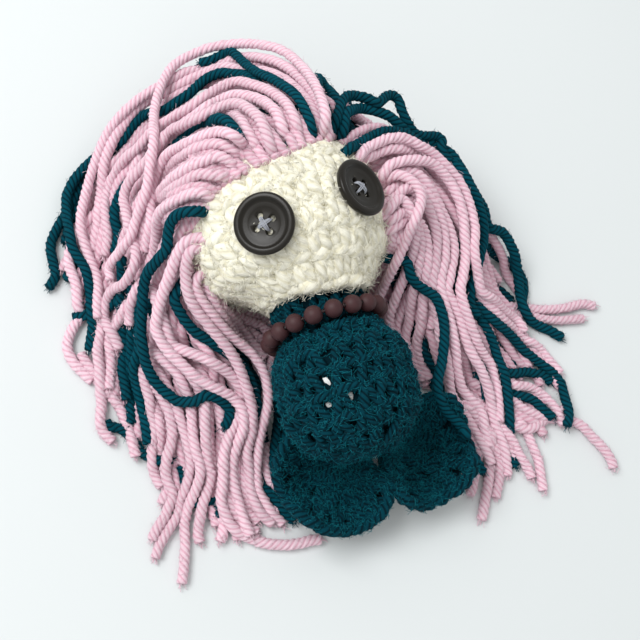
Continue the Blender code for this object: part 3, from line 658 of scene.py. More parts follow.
def lumpy_form(name, form, depth, bumps, steps):
    """A soft filling inside a turned form, with wisps and the bumps that press out through gaps."""
    s, turn = turned_grid(form, 0.0, form.lengths[-1], steps)
    out = np.full(s.shape, -depth)
    for bump_turn, bump_along in bumps:
        away = (turn - math.radians(bump_turn) + math.pi) % (2 * math.pi) - math.pi
        across = away * form.radius(s)
        spread_out = (across / BUMP_WIDTH) ** 2 + ((s - bump_along) / BUMP_LENGTH) ** 2
        out += STUFFING_BUMP * np.exp(-spread_out)
    wisps = WISP_REACH * lumps_at(form.place(s, turn, out), WISP_SCALE, s.shape)
    points = form.place(s, turn, out + wisps)
    index = np.arange(s.size).reshape(s.shape)
    after = np.roll(index, -1, axis=1)
    ends = np.array([points[0].mean(axis=0), points[-1].mean(axis=0)])
    first = np.stack([index[0], after[0], np.full(steps[1], s.size)], axis=-1)
    last = np.stack([after[-1], index[-1], np.full(steps[1], s.size + 1)], axis=-1)
    vertices = np.vstack([points.reshape(-1, 3), ends])
    faces = [grid_quads(index), first, last]
    return make_mesh(name, {"vertices": vertices, "faces": faces, "value": {}})


# Name, form, depth under it, bumps, steps of the grid, and the solid that it stands for
FILLINGS = (
    ("head_fibrefill", STUFFED_HEAD_FORM, 4.9, (), (40, 64), "head_stuffing"),
    ("body_fibrefill", BODY_FORM, 4.6, STUFFING_GAPS, (70, 120), "body_stuffing"),
)


def make_stuffing():
    for name, form, depth, bumps, steps, node in FILLINGS:
        mesh = lumpy_form(name, form, depth, bumps, steps)
        add_piece(name, mesh, FIBREFILL, "doll", [node])


# Tail lobes: fans of long stitches from where they are sewn on, with a rolled edge of loops

LOBE_BASE = np.array((-9.5, -1.0))
LOBE_YARN_DEPTH = 1.6  # of the sheet's top over the solid's base
LOBE_RIM_REACH = 1.08
LOBE_SEARCH = 8
LOBE_SEARCH_STEPS = 500
LOBE_THICKNESS = 2.2
LOBE_YARN_INSET = 2.2
LOBE_RINGS = 10
LOBE_SPOKES = 48
LOBE_INNER_SHARE = 0.04
LOBE_OUTER_SHARE = 0.99
LOBE_SHEET_RISE = 0.2
# Low, so that the lobe's sheet takes mostly the yarn's painted groove shade
LOBE_SHEET_PLY = 0.1
LOBE_FIBRE_COUNT = 7500
LOBE_FIBRE_CENTRE_DEPTH = 30.0
SCALLOPS = 5
SCALLOP_RISE = 2.2
SCALLOP_SHARE = 0.05

# Rows of long stitches: (stitches, where they start and end as shares of the way to the edge).
# Each has two strands, which stand apart and up in their middle, and a loop across its top.
POST_ROWS = ((12, 0.05, 0.42), (19, 0.36, 0.72), (25, 0.66, 0.98))
POST_STEPS = (0, 0.25, 0.5, 0.75, 1)
POST_POINTS = 22
POST_YARN_RADIUS = 1.5
POST_RISE = 0.7
POST_CROWN = 1.7
POST_FOLD = 0.75
POST_FOLD_ENDS = 0.3
POST_FOLD_MIDDLE = 1.2
POST_RIPPLE = 0.6
POST_RIPPLE_LENGTH = 3.7
TOP_LOOP = ((-0.8, -1.0), (-0.3, 0.8), (0.3, 0.8), (0.8, -1.0))  # step aside, height
TOP_LOOP_RISE = 1.3

# The loops of the edge: step aside, share of the way to the edge, height
EDGE_LOOP = ((-0.75, 0.93, 0.6), (-0.3, 0.99, 1.9), (0.3, 1.03, 1.6), (0.75, 1.01, -0.6))
EDGE_LOOPS = 34
EDGE_POINTS = 16
EDGE_YARN_RADIUS = 1.75
LOBE_GROOVE = 0.14


def lobe_reach(x, y):
    """How far out a place measured from a lobe's middle lies: 1 on its edge."""
    across = np.abs(x / (LOBE_HALF_WIDTH - LOBE_YARN_INSET)) ** LOBE_SQUARENESS
    along = np.abs(y / (LOBE_HALF_LENGTH - LOBE_YARN_INSET)) ** LOBE_SQUARENESS
    return (across + along) ** (1 / LOBE_SQUARENESS)


def lobe_height(reach, most):
    """How high the cupped sheet lies over the floor, from its middle out to a greatest reach."""
    return LOBE_BASE_HEIGHT + LOBE_YARN_DEPTH + LOBE_RISE * np.minimum(reach, most) ** 2


def lobe_surface(side, x, y, out=0.0):
    """A place on a lobe's cupped sheet, measured from its middle, x towards the doll's side."""
    z = lobe_height(lobe_reach(x, y), LOBE_RIM_REACH) + out
    across = x * math.cos(LOBE_SPREAD) + y * math.sin(LOBE_SPREAD)
    along = y * math.cos(LOBE_SPREAD) - x * math.sin(LOBE_SPREAD)
    return np.stack([LOBE_SHIFT + side * (LOBE_SPACING + across), along - LOBE_DROP, z], axis=-1)


def lobe_edge(angle):
    """How far the lobe's edge lies from where it is sewn on, in each direction."""
    reach = np.linspace(0, 2 * LOBE_HALF_LENGTH + LOBE_SEARCH, LOBE_SEARCH_STEPS)
    x, y = LOBE_BASE[0] + reach * math.cos(angle), LOBE_BASE[1] + reach * math.sin(angle)
    return reach[np.argmax(lobe_reach(x, y) > 1)]


def lobe_place(side, angle, share, up, aside=0.0):
    """A place on the lobe from its base towards an edge that goes in and out in scallops."""
    reach = lobe_edge(angle) * (1 + SCALLOP_SHARE * math.cos(SCALLOPS * angle)) * share
    up = up + SCALLOP_RISE * math.cos(SCALLOPS * angle) * share
    x = LOBE_BASE[0] + reach * math.cos(angle) - aside * math.sin(angle)
    y = LOBE_BASE[1] + reach * math.sin(angle) + aside * math.cos(angle)
    return lobe_surface(side, np.array(x), np.array(y), up)


def lobe_sheet(side):
    """The closed sheet behind the stitches, flat on the floor in its middle. It takes mostly the yarn's
    painted groove shade, so the gaps between the stitches show painted shade.
    """
    shape = (LOBE_RINGS, LOBE_SPOKES)
    reach, turn = np.meshgrid(np.linspace(LOBE_INNER_SHARE, LOBE_OUTER_SHARE, LOBE_RINGS),
                              np.linspace(0, 2 * math.pi, LOBE_SPOKES, endpoint=False), indexing="ij")
    x, y = np.cos(turn), np.sin(turn)
    edge = 1 / lobe_reach(x, y)
    top = lobe_surface(side, reach * edge * x, reach * edge * y, LOBE_SHEET_RISE)
    low = top - (0, 0, LOBE_THICKNESS)
    keep_above(low, SHEET_CLEARANCE)
    below = LOBE_RINGS * LOBE_SPOKES
    index = np.arange(below).reshape(shape)
    after = np.roll(index, -1, axis=1)
    quads = grid_quads(index)
    centres = (np.full(LOBE_SPOKES, 2 * below), np.full(LOBE_SPOKES, 2 * below + 1))
    middle = np.stack([index[0], after[0], centres[0]], axis=-1)
    rim = np.stack([index[-1], index[-1] + below, after[-1] + below, after[-1]], axis=-1)
    under = np.stack([after[0] + below, index[0] + below, centres[1]], axis=-1)
    faces = [quads, middle, quads[:, ::-1] + below, under, rim]
    if side < 0:
        faces = [group[:, ::-1] for group in faces]
    centre = np.stack([top[0].mean(axis=0), low[0].mean(axis=0)])
    vertices = np.vstack([top.reshape(-1, 3), low.reshape(-1, 3), centre])
    return plain_sheet(vertices, faces, LOBE_SHEET_PLY, vertices.copy())


def post_knots(side, angle, low, high, ripple, lean, fold):
    """The places that one strand of a long stitch passes."""
    knots = []
    for step in POST_STEPS:
        swelling = math.sin(math.pi * step)
        up = POST_RISE + POST_CROWN * swelling + ripple * step
        aside = fold * (POST_FOLD_ENDS + POST_FOLD_MIDDLE * swelling)
        knots.append(lobe_place(side, angle + lean * step, low + (high - low) * step, up, aside))
    return knots


def make_lobe(side, name):
    posts, loops = [], []
    for count, low, high in POST_ROWS:
        for i in range(count):
            angle = 2 * math.pi * (i + 0.5) / count + RANDOM.normal(0, 0.05)
            ripple = (POST_RIPPLE * math.cos(2 * math.pi * i / POST_RIPPLE_LENGTH)
                      + RANDOM.normal(0, 0.5))
            lean = RANDOM.normal(0.05, 0.09)
            for fold in (-POST_FOLD, POST_FOLD):
                knots = post_knots(side, angle, low, high, ripple, lean, fold)
                posts.append(smooth_path(knots, POST_POINTS))
        for i in range(count):
            angle = 2 * math.pi * (i + RANDOM.uniform(-0.15, 0.15)) / count
            knots = [lobe_place(side, angle + step * 2 * math.pi / count, high, up + TOP_LOOP_RISE)
                     for step, up in TOP_LOOP]
            posts.append(smooth_path(knots, POST_POINTS))
    for i in range(EDGE_LOOPS):
        angle = 2 * math.pi * (i + RANDOM.uniform(-0.15, 0.15)) / EDGE_LOOPS
        knots = [lobe_place(side, angle + step * 2 * math.pi / EDGE_LOOPS, share, up)
                 for step, share, up in EDGE_LOOP]
        loops.append(smooth_path(knots, EDGE_POINTS))
    yarn = joined([
        yarn_tubes(np.array(paths), radius, sides=STITCH_SIDES, groove=LOBE_GROOVE, blunt=False)
        for paths, radius in ((posts, POST_YARN_RADIUS), (loops, EDGE_YARN_RADIUS))
    ])
    middle = lobe_surface(side, 0.0, 0.0, -LOBE_FIBRE_CENTRE_DEPTH)
    loose = fuzz(yarn, LOBE_FIBRE_COUNT, TEAL_FIBRE_REACH, TEAL_FIBRE_THICKNESS, middle=middle)
    whole = joined([yarn, lobe_sheet(side)])
    keep_above(whole["vertices"], STITCH_CLEARANCE)
    add_yarn("tail_crochet_" + name, whole, STITCHED_TEAL, ["tail_lobe_" + name])
    # The loose fibres are a lighter teal: painted highlight.
    add_yarn("tail_fuzz_" + name, loose, TEAL_FIBRES_PAINTED_HIGHLIGHT)


# Buttons

# The turned outline: share of the radius, height over the back
BUTTON_OUTLINE = (
    (0.0, 2.05), (0.30, 2.06), (0.48, 2.10), (0.52, 2.20), (0.56, 2.26), (0.66, 2.30), (0.71, 2.34),
    (0.745, 2.55), (0.775, 2.98), (0.80, 3.14), (0.83, 3.19), (0.90, 3.18), (0.945, 3.05), (0.975, 2.75),
    (0.99, 2.35), (0.985, 1.7), (0.96, 1.0), (0.90, 0.45), (0.86, 0.32), (0.0, 0.32),
)
BUTTON_TURNS_DEG = {"right": -29, "left": 31}
BUTTON_SPINS_DEG = {"right": -34, "left": -6}
BUTTON_DROPS = {"right": 7.0, "left": 3.0}
BUTTON_SEGMENTS = 112
HOLE_RADIUS = 1.0
HOLE_REACH = 2.8
HOLE_SEGMENTS = 28
HOLE_OUTLINE = ((0, 5.0), (1.5, 5.0), (1.42, 2.2), (1.12, 2.0), (HOLE_RADIUS, 1.7), (HOLE_RADIUS, -1),
                (0, -1))
THREAD_STRANDS = {"right": (3, 3), "left": (2, 3)}  # of the two stitches that cross
THREAD_SPACING = 0.36
THREAD_RADIUS = 0.21
THREAD_SIDES = 9
THREAD_PLIES = 3
THREAD_LAY = 0.9
THREAD_UNEVEN = 0.1
THREAD_POINTS = 40
THREAD_TOP = 2.42
THREAD_STEP = 0.2

# A strand's way up through a hole and towards the middle: (share of the hole's reach, share of the
# strand's step aside, height, whether that is measured from the strand's top)
THREAD_WAY = ((0.86, 0, 0.4, False), (0.78, 0.6, 1.7, False), (0.60, 1, -0.2, True),
              (0.22, 1.2, 0.1, True))


def circle(shape, radius, height, segments):
    turns = [2 * math.pi * i / segments for i in range(segments)]
    return [shape.verts.new((radius * math.cos(a), radius * math.sin(a), height)) for a in turns]


def lathe(outline, segments):
    """A turned mesh about Z from (radius, height) points that start and end on the axis."""
    shape = bmesh.new()
    rings = [circle(shape, radius, height, segments if radius else 1) for radius, height in outline]
    for above, below in zip(rings, rings[1:]):
        for i in range(segments):
            j = (i + 1) % segments
            corners = [above[i % len(above)], below[i % len(below)],
                       below[j % len(below)], above[j % len(above)]]
            shape.faces.new(list(dict.fromkeys(corners)))
    bmesh.ops.recalc_face_normals(shape, faces=shape.faces)
    return shape


def mesh_of(shape, name):
    mesh = bpy.data.meshes.new(name)
    shape.to_mesh(mesh)
    shape.free()
    return mesh


BUTTON_SHARP_DEG = 38
BEAD_SHARP_DEG = 50


def round_off(mesh, angle_deg):
    mesh.shade_smooth()
    mesh.set_sharp_from_angle(angle=math.radians(angle_deg))


def cut_with(mesh, cutter_mesh, name):
    """The mesh with the cutter's shape taken away."""
    piece = bpy.data.objects.new(name, mesh)
    cutter = bpy.data.objects.new(name + "_cutter", cutter_mesh)
    for part in (piece, cutter):
        bpy.context.scene.collection.objects.link(part)
    modifier = piece.modifiers.new("holes", "BOOLEAN")
    modifier.operation = "DIFFERENCE"
    modifier.object = cutter
    bpy.context.view_layer.update()
    made = bpy.data.meshes.new_from_object(piece.evaluated_get(bpy.context.evaluated_depsgraph_get()))
    bpy.data.objects.remove(piece)
    bpy.data.objects.remove(cutter)
    made.name = name
    return made


def button_matrix(side):
    """The middle of the button's back on the head, and the way that the button faces."""
    turn = math.radians(BUTTON_TURNS_DEG[side])
    drop = -BUTTON_DROPS[side]
    n = HEAD_SQUARENESS
    share = abs(drop) / HEAD_HALF_HEIGHT
    radius = HEAD_RADIUS * (1 - share**n) ** (1 / n)
    across = (radius / HEAD_RADIUS) ** (n - 1) / HEAD_RADIUS
    along = math.copysign(share ** (n - 1), drop) / HEAD_HALF_HEIGHT
    point = Vector((radius * math.sin(turn), drop, AXIS_HEIGHT + radius * math.cos(turn)))
    out = Vector((across * math.sin(turn), along, across * math.cos(turn))).normalized()
    sideways = Vector((0, 1, 0)).cross(out).normalized()
    facing = Matrix((sideways, out.cross(sideways), out)).transposed().to_4x4()
    spin = Matrix.Rotation(math.radians(BUTTON_SPINS_DEG[side]), 4, "Z")
    return Matrix.Translation(point * MM) @ facing @ spin @ Matrix.Scale(MM, 4)


def hole_places():
    angles = [math.pi / 4 + math.pi / 2 * i for i in range(4)]
    return [np.array((HOLE_REACH * math.cos(a), HOLE_REACH * math.sin(a))) for a in angles]


def thread_paths(side):
    """The strands that cross over a button's middle, from hole to opposite hole."""
    paths, corners = [], hole_places()
    for first, second in ((0, 2), (1, 3)):
        start, end = corners[first], corners[second]
        across = np.array((-(end - start)[1], (end - start)[0])) / np.linalg.norm(end - start)
        for strand in range(THREAD_STRANDS[side][first]):
            aside = across * ((strand - 1) * THREAD_SPACING + RANDOM.normal(0, 0.06))
            top = THREAD_TOP + THREAD_STEP * (first + strand % 2) + RANDOM.uniform(0, 0.12)
            halves = [[(*(hole * reach + aside * step), height + top * from_top)
                       for reach, step, height, from_top in THREAD_WAY] for hole in (start, end)]
            paths.append(smooth_path(halves[0] + halves[1][::-1], THREAD_POINTS))
    return np.array(paths)


def make_button(side):
    name = "button_" + side
    outline = [(radius * BUTTON_RADIUS, height) for radius, height in BUTTON_OUTLINE]
    mesh = mesh_of(lathe(outline, BUTTON_SEGMENTS), name + "_plastic")
    holes = bmesh.new()
    for x, y in hole_places():
        single = mesh_of(lathe(HOLE_OUTLINE, HOLE_SEGMENTS), "hole")
        single.transform(Matrix.Translation((x, y, 0)))
        holes.from_mesh(single)
    mesh = cut_with(mesh, mesh_of(holes, "holes"), name + "_plastic")
    mesh.transform(button_matrix(side))
    round_off(mesh, BUTTON_SHARP_DEG)
    add_piece(name + "_plastic", mesh, PLASTIC, name, [name])
    thread = yarn_tubes(thread_paths(side), THREAD_RADIUS, sides=THREAD_SIDES, plies=THREAD_PLIES,
                        lay=THREAD_LAY, uneven=THREAD_UNEVEN)
    mesh = make_mesh(name + "_stitches", thread)
    mesh.transform(Matrix.Scale(1 / MM, 4))
    mesh.transform(button_matrix(side))
    add_piece(name + "_stitches", mesh, THREAD, "doll", ["button_thread_" + side])


# Necklace

BEAD_POINTS = 25
BEAD_SEGMENTS = 40
BORE_END_SHARE = 0.9
SEED_RADIUS = 0.68
SEED_BORE_RADIUS = 0.47
SEED_HALF_LENGTH = 0.34
SEED_SEGMENTS = 24
SEED_INSET = 0.02
STRING_SIDES = 10
STRING_THICKNESS_SHARE = 0.9
STRING_SHARES = (0.0, 0.3, 0.7)  # of the way from one seed bead to the next


def bead_outline(radius, bore, half_length):
    first = math.asin(bore / radius)
    outline = [(radius * math.sin(a), half_length * math.cos(a))
               for a in np.linspace(first, math.pi - first, BEAD_POINTS)]
    return outline + [(bore, -outline[0][1] * BORE_END_SHARE), (bore, outline[0][1] * BORE_END_SHARE)]


def turned_ring(outline, segments, name):
    """A bored bead: a closed outline turned about Z."""
    shape = bmesh.new()
    rings = [circle(shape, radius, height, segments) for radius, height in outline]
    for above, below in zip(rings, rings[1:] + rings[:1]):
        for i in range(segments):
            j = (i + 1) % segments
            shape.faces.new((above[i], below[i], below[j], above[j]))
    bmesh.ops.recalc_face_normals(shape, faces=shape.faces)
    return mesh_of(shape, name)


def ring_matrix(angle, radius):
    """A place on the necklace's ring, with Z along the string."""
    angle += NECKLACE_SPIN
    out = Vector((math.cos(angle), 0, -math.sin(angle)))
    along = Vector((math.sin(angle), 0, math.cos(angle)))
    side = along.cross(out)
    turn = Matrix((out, side, along)).transposed().to_4x4()
    centre = Vector((0, -NECKLACE_DROP, AXIS_HEIGHT)) + out * radius
    return Matrix.Translation(centre * MM) @ turn @ Matrix.Scale(MM, 4)


def make_necklace():
    for i in range(BEAD_COUNT):
        angle = 2 * math.pi * (i + 0.5) / BEAD_COUNT
        name = f"bead_{i + 1:02d}"
        outline = bead_outline(BEAD_RADIUS, BEAD_BORE_RADIUS, BEAD_RADIUS)
        mesh = turned_ring(outline, BEAD_SEGMENTS, name + "_glazed")
        mesh.transform(ring_matrix(angle, NECKLACE_RADIUS))
        round_off(mesh, BEAD_SHARP_DEG)
        add_piece(name + "_glazed", mesh, BEAD, name, [name])
    seeds = bmesh.new()
    corner_radius = NECKLACE_RADIUS / math.cos(math.pi / BEAD_COUNT)
    for i in range(BEAD_COUNT):
        outline = bead_outline(SEED_RADIUS, SEED_BORE_RADIUS, SEED_HALF_LENGTH)
        mesh = turned_ring(outline, SEED_SEGMENTS, "seed")
        mesh.transform(ring_matrix(2 * math.pi * i / BEAD_COUNT, corner_radius - SEED_INSET))
        seeds.from_mesh(mesh)
    mesh = mesh_of(seeds, "necklace_seed_beads")
    mesh.shade_smooth()
    add_piece("necklace_seed_beads", mesh, SEED, "necklace")
    turns = [2 * math.pi * i / BEAD_COUNT + NECKLACE_SPIN for i in range(BEAD_COUNT + 1)]
    corners = [np.array((math.cos(a), 0, -math.sin(a))) * corner_radius for a in turns]
    points = [start + (end - start) * share for start, end in zip(corners, corners[1:])
              for share in STRING_SHARES]
    ring = np.array(points)[None] + (0, -NECKLACE_DROP, AXIS_HEIGHT)
    string = yarn_tubes(ring, STRING_RADIUS * STRING_THICKNESS_SHARE, sides=STRING_SIDES, plies=0,
                        closed=True, uneven=0.0)
    mesh = make_mesh("necklace_string_black", string)
    add_piece("necklace_string_black", mesh, STRING, "necklace", ["necklace_string"])


# Hair routes seen in the photograph, from root to cut end: (yarn, layer from the top, pixels)

HAIR_ROUTES = (
    # The arch over the crown and down the doll's right side
    ("teal", 0, ((308, 115), (296, 96), (275, 80), (255, 69), (242, 58), (230, 47), (219, 51),
        (209, 57), (199, 60))),
    ("pink", 0, ((322, 138), (325, 115), (310, 78), (285, 52), (255, 43), (225, 41), (195, 49),
        (172, 66), (160, 90), (155, 115), (155, 140), (151, 165), (146, 192), (136, 215), (128, 238),
        (115, 255), (107, 268), (108, 280))),
    ("pink", 1, ((322, 132), (318, 105), (305, 83), (285, 66), (265, 58), (240, 54), (215, 60),
        (190, 68), (170, 80), (150, 95), (130, 112), (110, 135), (95, 165), (86, 195), (81, 222),
        (85, 250), (95, 280), (99, 320))),
    ("pink", 2, ((315, 135), (308, 110), (292, 88), (272, 76), (245, 70), (220, 68), (195, 76),
        (170, 90), (145, 103), (125, 125), (108, 155), (102, 190), (100, 230), (96, 255))),
    ("teal", 2, ((268, 92), (250, 78), (235, 76), (222, 75), (208, 80), (198, 88), (188, 97),
        (175, 105), (165, 112), (145, 116), (132, 128), (120, 143), (97, 157), (85, 168), (75, 180),
        (68, 197), (69, 215), (73, 235), (77, 252), (87, 270), (90, 290), (93, 312), (95, 330),
        (92, 352))),
    ("teal", 3, ((110, 150), (85, 180), (70, 205), (62, 218), (50, 238), (43, 255), (44, 270),
        (47, 285), (38, 302))),
    ("pink", 1, ((295, 120), (285, 105), (270, 92), (250, 84), (235, 82), (220, 88), (205, 98),
        (190, 110), (172, 119), (152, 132), (138, 148), (125, 158), (112, 175), (105, 193), (103, 218),
        (102, 240), (99, 256))),
    ("pink", 2, ((283, 130), (275, 115), (262, 103), (248, 98), (235, 97), (220, 103), (205, 112),
        (188, 121), (168, 130), (150, 143), (138, 160), (128, 180))),
    ("pink", 1, ((270, 140), (262, 125), (250, 112), (238, 106), (225, 108), (208, 116), (190, 124),
        (170, 133), (158, 148), (138, 172), (128, 185), (124, 200), (127, 216), (132, 240), (135, 256),
        (132, 270), (124, 283), (110, 290), (101, 303), (99, 318), (107, 330), (115, 340),
        (119, 350))),
    ("pink", 2, ((258, 150), (250, 135), (240, 122), (228, 116), (212, 119), (192, 130), (172, 141),
        (155, 156))),
    ("teal", 2, ((243, 138), (232, 128), (220, 124), (208, 124), (195, 130), (182, 138), (168, 148),
        (148, 154), (133, 168), (122, 181), (116, 195), (112, 215), (115, 235), (109, 252))),
    ("pink", 1, ((247, 150), (235, 139), (222, 135), (208, 138), (192, 144), (172, 152), (160, 165),
        (150, 190), (147, 220), (140, 250))),
    ("pink", 2, ((240, 158), (225, 150), (208, 152), (190, 158), (170, 165), (158, 178), (150, 200),
        (146, 230))),
    ("pink", 1, ((235, 167), (220, 158), (205, 163), (190, 170), (176, 179), (162, 190), (151, 204),
        (142, 230), (138, 262))),
    ("pink", 2, ((228, 176), (205, 172), (188, 181), (170, 192), (155, 202), (146, 222), (140, 250))),
    ("pink", 1, ((213, 199), (205, 193), (195, 194), (180, 201), (166, 209), (158, 220), (154, 236),
        (149, 250), (141, 275), (133, 300), (131, 325))),
    ("pink", 2, ((215, 207), (200, 203), (188, 206), (174, 213), (160, 225), (150, 245), (146, 270))),
    ("pink", 3, ((97, 215), (80, 238), (72, 262), (77, 285), (75, 305), (69, 330), (60, 345),
        (57, 360), (64, 374), (75, 382), (88, 390))),
    ("teal", 4, ((75, 270), (64, 280), (58, 293), (70, 291))),
    # The doll's right side, from the cheek down
    ("teal", 0, ((207, 213), (195, 212), (180, 214), (171, 223), (168, 236), (166, 250), (156, 262),
        (147, 274), (143, 292), (142, 312), (141, 330), (143, 350), (146, 365), (152, 378), (160, 388),
        (170, 397), (180, 402), (195, 401), (207, 395), (218, 398), (227, 405), (232, 412), (231, 422),
        (227, 430))),
    ("pink", 0, ((213, 241), (200, 238), (187, 242), (178, 254), (171, 272), (165, 288), (160, 304),
        (157, 320), (157, 330), (165, 345), (178, 360), (190, 372), (203, 383), (218, 392), (232, 400),
        (242, 412), (243, 428), (236, 445), (230, 462), (229, 485), (233, 510), (240, 527),
        (247, 540))),
    ("pink", 0, ((208, 252), (193, 249), (187, 260), (186, 275), (188, 292), (195, 308), (206, 322),
        (218, 337), (230, 352), (240, 370), (247, 390), (251, 410), (250, 432), (244, 452), (245, 475),
        (245, 490), (250, 508), (260, 522), (270, 530))),
    ("pink", 1, ((208, 272), (198, 278), (196, 290), (205, 305), (220, 325), (235, 340), (250, 352),
        (262, 368), (267, 385), (268, 400), (265, 415), (260, 430), (256, 445), (252, 470), (254, 492),
        (262, 505), (272, 520), (280, 532))),
    ("teal", 2, ((180, 290), (176, 300), (185, 318), (196, 332), (215, 345), (235, 362), (250, 385),
        (256, 410), (254, 440), (250, 470), (252, 495), (262, 505), (272, 520), (283, 539))),
    ("pink", 1, ((158, 302), (165, 325), (172, 345), (185, 351), (200, 356), (213, 362), (226, 370),
        (236, 382), (240, 395), (236, 415), (228, 435), (224, 455), (224, 480), (222, 500), (226, 515),
        (232, 530), (243, 542), (255, 552), (270, 558), (285, 560), (300, 558), (313, 556))),
    ("teal", 2, ((92, 312), (107, 306), (118, 297), (130, 293), (142, 300), (155, 315), (163, 335))),
    ("pink", 2, ((190, 262), (194, 285), (200, 305), (212, 320), (224, 334))),
    ("pink", 2, ((200, 262), (206, 282), (212, 300), (222, 318), (232, 334), (245, 350))),
    ("pink", 3, ((208, 268), (216, 288), (225, 306), (238, 326), (250, 345), (262, 362))),
    ("pink", 1, ((118, 318), (107, 340), (109, 360), (110, 380), (110, 393))),
    ("pink", 2, ((97, 330), (92, 352), (95, 370), (97, 390), (98, 410), (96, 430), (97, 445),
        (104, 455))),
    ("pink", 3, ((90, 375), (98, 395), (108, 400), (118, 412), (125, 428), (132, 445), (135, 458))),
    ("teal", 2, ((130, 335), (125, 360), (122, 380), (124, 400), (127, 415), (129, 428))),
    ("teal", 1, ((120, 275), (118, 300), (118, 330), (122, 350), (120, 370), (121, 405))),
    ("teal", 1, ((133, 300), (135, 330), (137, 350), (133, 370), (137, 390), (139, 400), (143, 415),
        (148, 430), (152, 448))),
    ("pink", 2, ((122, 285), (125, 303), (130, 318), (135, 335), (140, 365), (147, 388), (151, 400),
        (153, 415), (155, 430), (153, 455), (155, 475), (163, 488))),
    ("teal", 3, ((122, 440), (135, 455), (143, 459), (153, 460), (162, 462), (173, 459))),
    ("pink", 1, ((165, 360), (178, 375), (185, 390), (190, 405), (192, 430), (195, 450), (200, 470),
        (195, 490), (186, 510), (180, 530), (178, 550), (175, 570), (172, 590), (170, 603))),
    ("pink", 1, ((182, 362), (196, 380), (205, 395), (207, 420), (208, 440), (210, 460), (213, 475),
        (208, 490), (200, 505), (195, 520), (190, 540), (192, 550))),
    ("pink", 2, ((200, 385), (208, 405), (210, 430), (213, 450), (215, 470), (215, 490), (218, 510),
        (222, 530), (218, 545))),
    ("pink", 1, ((205, 378), (215, 402), (219, 430), (224, 440), (226, 460), (224, 480), (223, 500),
        (228, 516), (240, 532), (252, 542))),
    ("pink", 2, ((162, 375), (175, 400), (182, 420), (188, 440), (192, 460), (190, 475), (185, 490),
        (178, 505), (172, 525), (163, 540), (150, 560), (144, 576))),
    ("pink", 2, ((150, 378), (160, 395), (168, 410), (172, 430), (170, 445), (165, 460), (163, 478),
        (168, 495), (163, 510), (157, 525), (145, 545), (140, 557))),
    ("pink", 3, ((140, 380), (150, 400), (158, 415), (160, 435), (158, 455), (160, 480), (160, 505),
        (152, 528))),
    ("pink", 2, ((240, 415), (238, 440), (237, 480), (236, 500), (240, 515), (250, 527), (262, 533))),
    ("pink", 3, ((232, 430), (230, 450), (228, 480), (232, 500), (240, 525), (247, 540))),
    ("teal", 2, ((190, 488), (197, 504), (207, 503), (213, 506), (215, 515), (213, 524))),
    ("pink", 9, ((258, 455), (260, 485), (270, 503), (280, 519), (287, 530))),
    # The parting and the doll's left side
    ("teal", 3, ((330, 118), (320, 95), (318, 72), (325, 80), (333, 90), (342, 104))),
    ("teal", 2, ((338, 118), (345, 100), (355, 98), (368, 101), (378, 105), (385, 98), (392, 96),
        (398, 100), (402, 110), (408, 122), (416, 133), (428, 135), (438, 134), (444, 140), (442, 148),
        (450, 160))),
    ("teal", 2, ((343, 128), (345, 115), (360, 108), (375, 110), (390, 115), (402, 125), (412, 135),
        (425, 145), (440, 152), (452, 158), (462, 170), (470, 185), (476, 200), (482, 220), (483, 240),
        (478, 258), (474, 275), (470, 290), (471, 305), (478, 315))),
    ("teal", 1, ((346, 152), (365, 142), (378, 135), (392, 132), (408, 133), (420, 140), (436, 150),
        (448, 165))),
    ("teal", 3, ((430, 140), (448, 152), (458, 165), (466, 180), (474, 195), (482, 210), (487, 228),
        (500, 232), (509, 243), (515, 258), (519, 280), (521, 300), (526, 316), (536, 331), (548, 341),
        (557, 348))),
    ("pink", 0, ((358, 158), (366, 150), (375, 145), (390, 139), (405, 139), (420, 146), (433, 154),
        (445, 165), (457, 178), (466, 195), (472, 215), (475, 232), (474, 250), (478, 275), (482, 292),
        (495, 300), (510, 312), (522, 320), (530, 332))),
    ("pink", 1, ((362, 160), (370, 155), (385, 150), (400, 150), (415, 154), (430, 162), (444, 176),
        (456, 194), (464, 215))),
    ("pink", 0, ((376, 176), (382, 171), (390, 167), (402, 163), (417, 161), (430, 163), (440, 170),
        (450, 182), (458, 197), (463, 215), (465, 235), (466, 255), (463, 275), (460, 290), (464, 310),
        (472, 330), (482, 350), (493, 365), (498, 385), (500, 405), (499, 425))),
    ("pink", 1, ((380, 182), (390, 177), (402, 175), (415, 178), (425, 190), (432, 200), (440, 215),
        (448, 232), (452, 252), (448, 275), (445, 292), (453, 305), (460, 320), (466, 340), (473, 355),
        (482, 370), (490, 390), (494, 410), (496, 430), (500, 455), (503, 480))),
    ("pink", 0, ((382, 181), (390, 179), (400, 180), (412, 187), (418, 200), (414, 218), (408, 232),
        (402, 248), (396, 262), (388, 280), (382, 295), (378, 310), (380, 322), (387, 336))),
    ("teal", 0, ((390, 255), (397, 258), (405, 263), (408, 273), (415, 283), (425, 290), (435, 297),
        (441, 310), (444, 325), (444, 340), (442, 360), (438, 378), (438, 395), (448, 413), (460, 425),
        (468, 440), (475, 455), (482, 468), (487, 476))),
    ("pink", 1, ((386, 212), (396, 203), (406, 212), (412, 228), (412, 250), (405, 275), (398, 295),
        (393, 310), (392, 322), (397, 335), (404, 350), (408, 362), (413, 377), (419, 387))),
    ("pink", 1, ((388, 222), (398, 214), (410, 222), (418, 240), (418, 265), (413, 300), (412, 320),
        (408, 340), (414, 355), (420, 370), (427, 383))),
    ("pink", 1, ((388, 230), (402, 222), (416, 226), (424, 245), (426, 270), (425, 300), (425, 320),
        (422, 340), (424, 355), (428, 368), (434, 381))),
    ("pink", 1, ((386, 200), (400, 192), (416, 198), (428, 215), (434, 238), (432, 265), (430, 280),
        (432, 300), (437, 315), (440, 335), (446, 355), (450, 375), (455, 395), (468, 410), (480, 430),
        (490, 450), (495, 465))),
    ("pink", 1, ((384, 192), (402, 184), (420, 190), (434, 206), (442, 228), (444, 255), (440, 280),
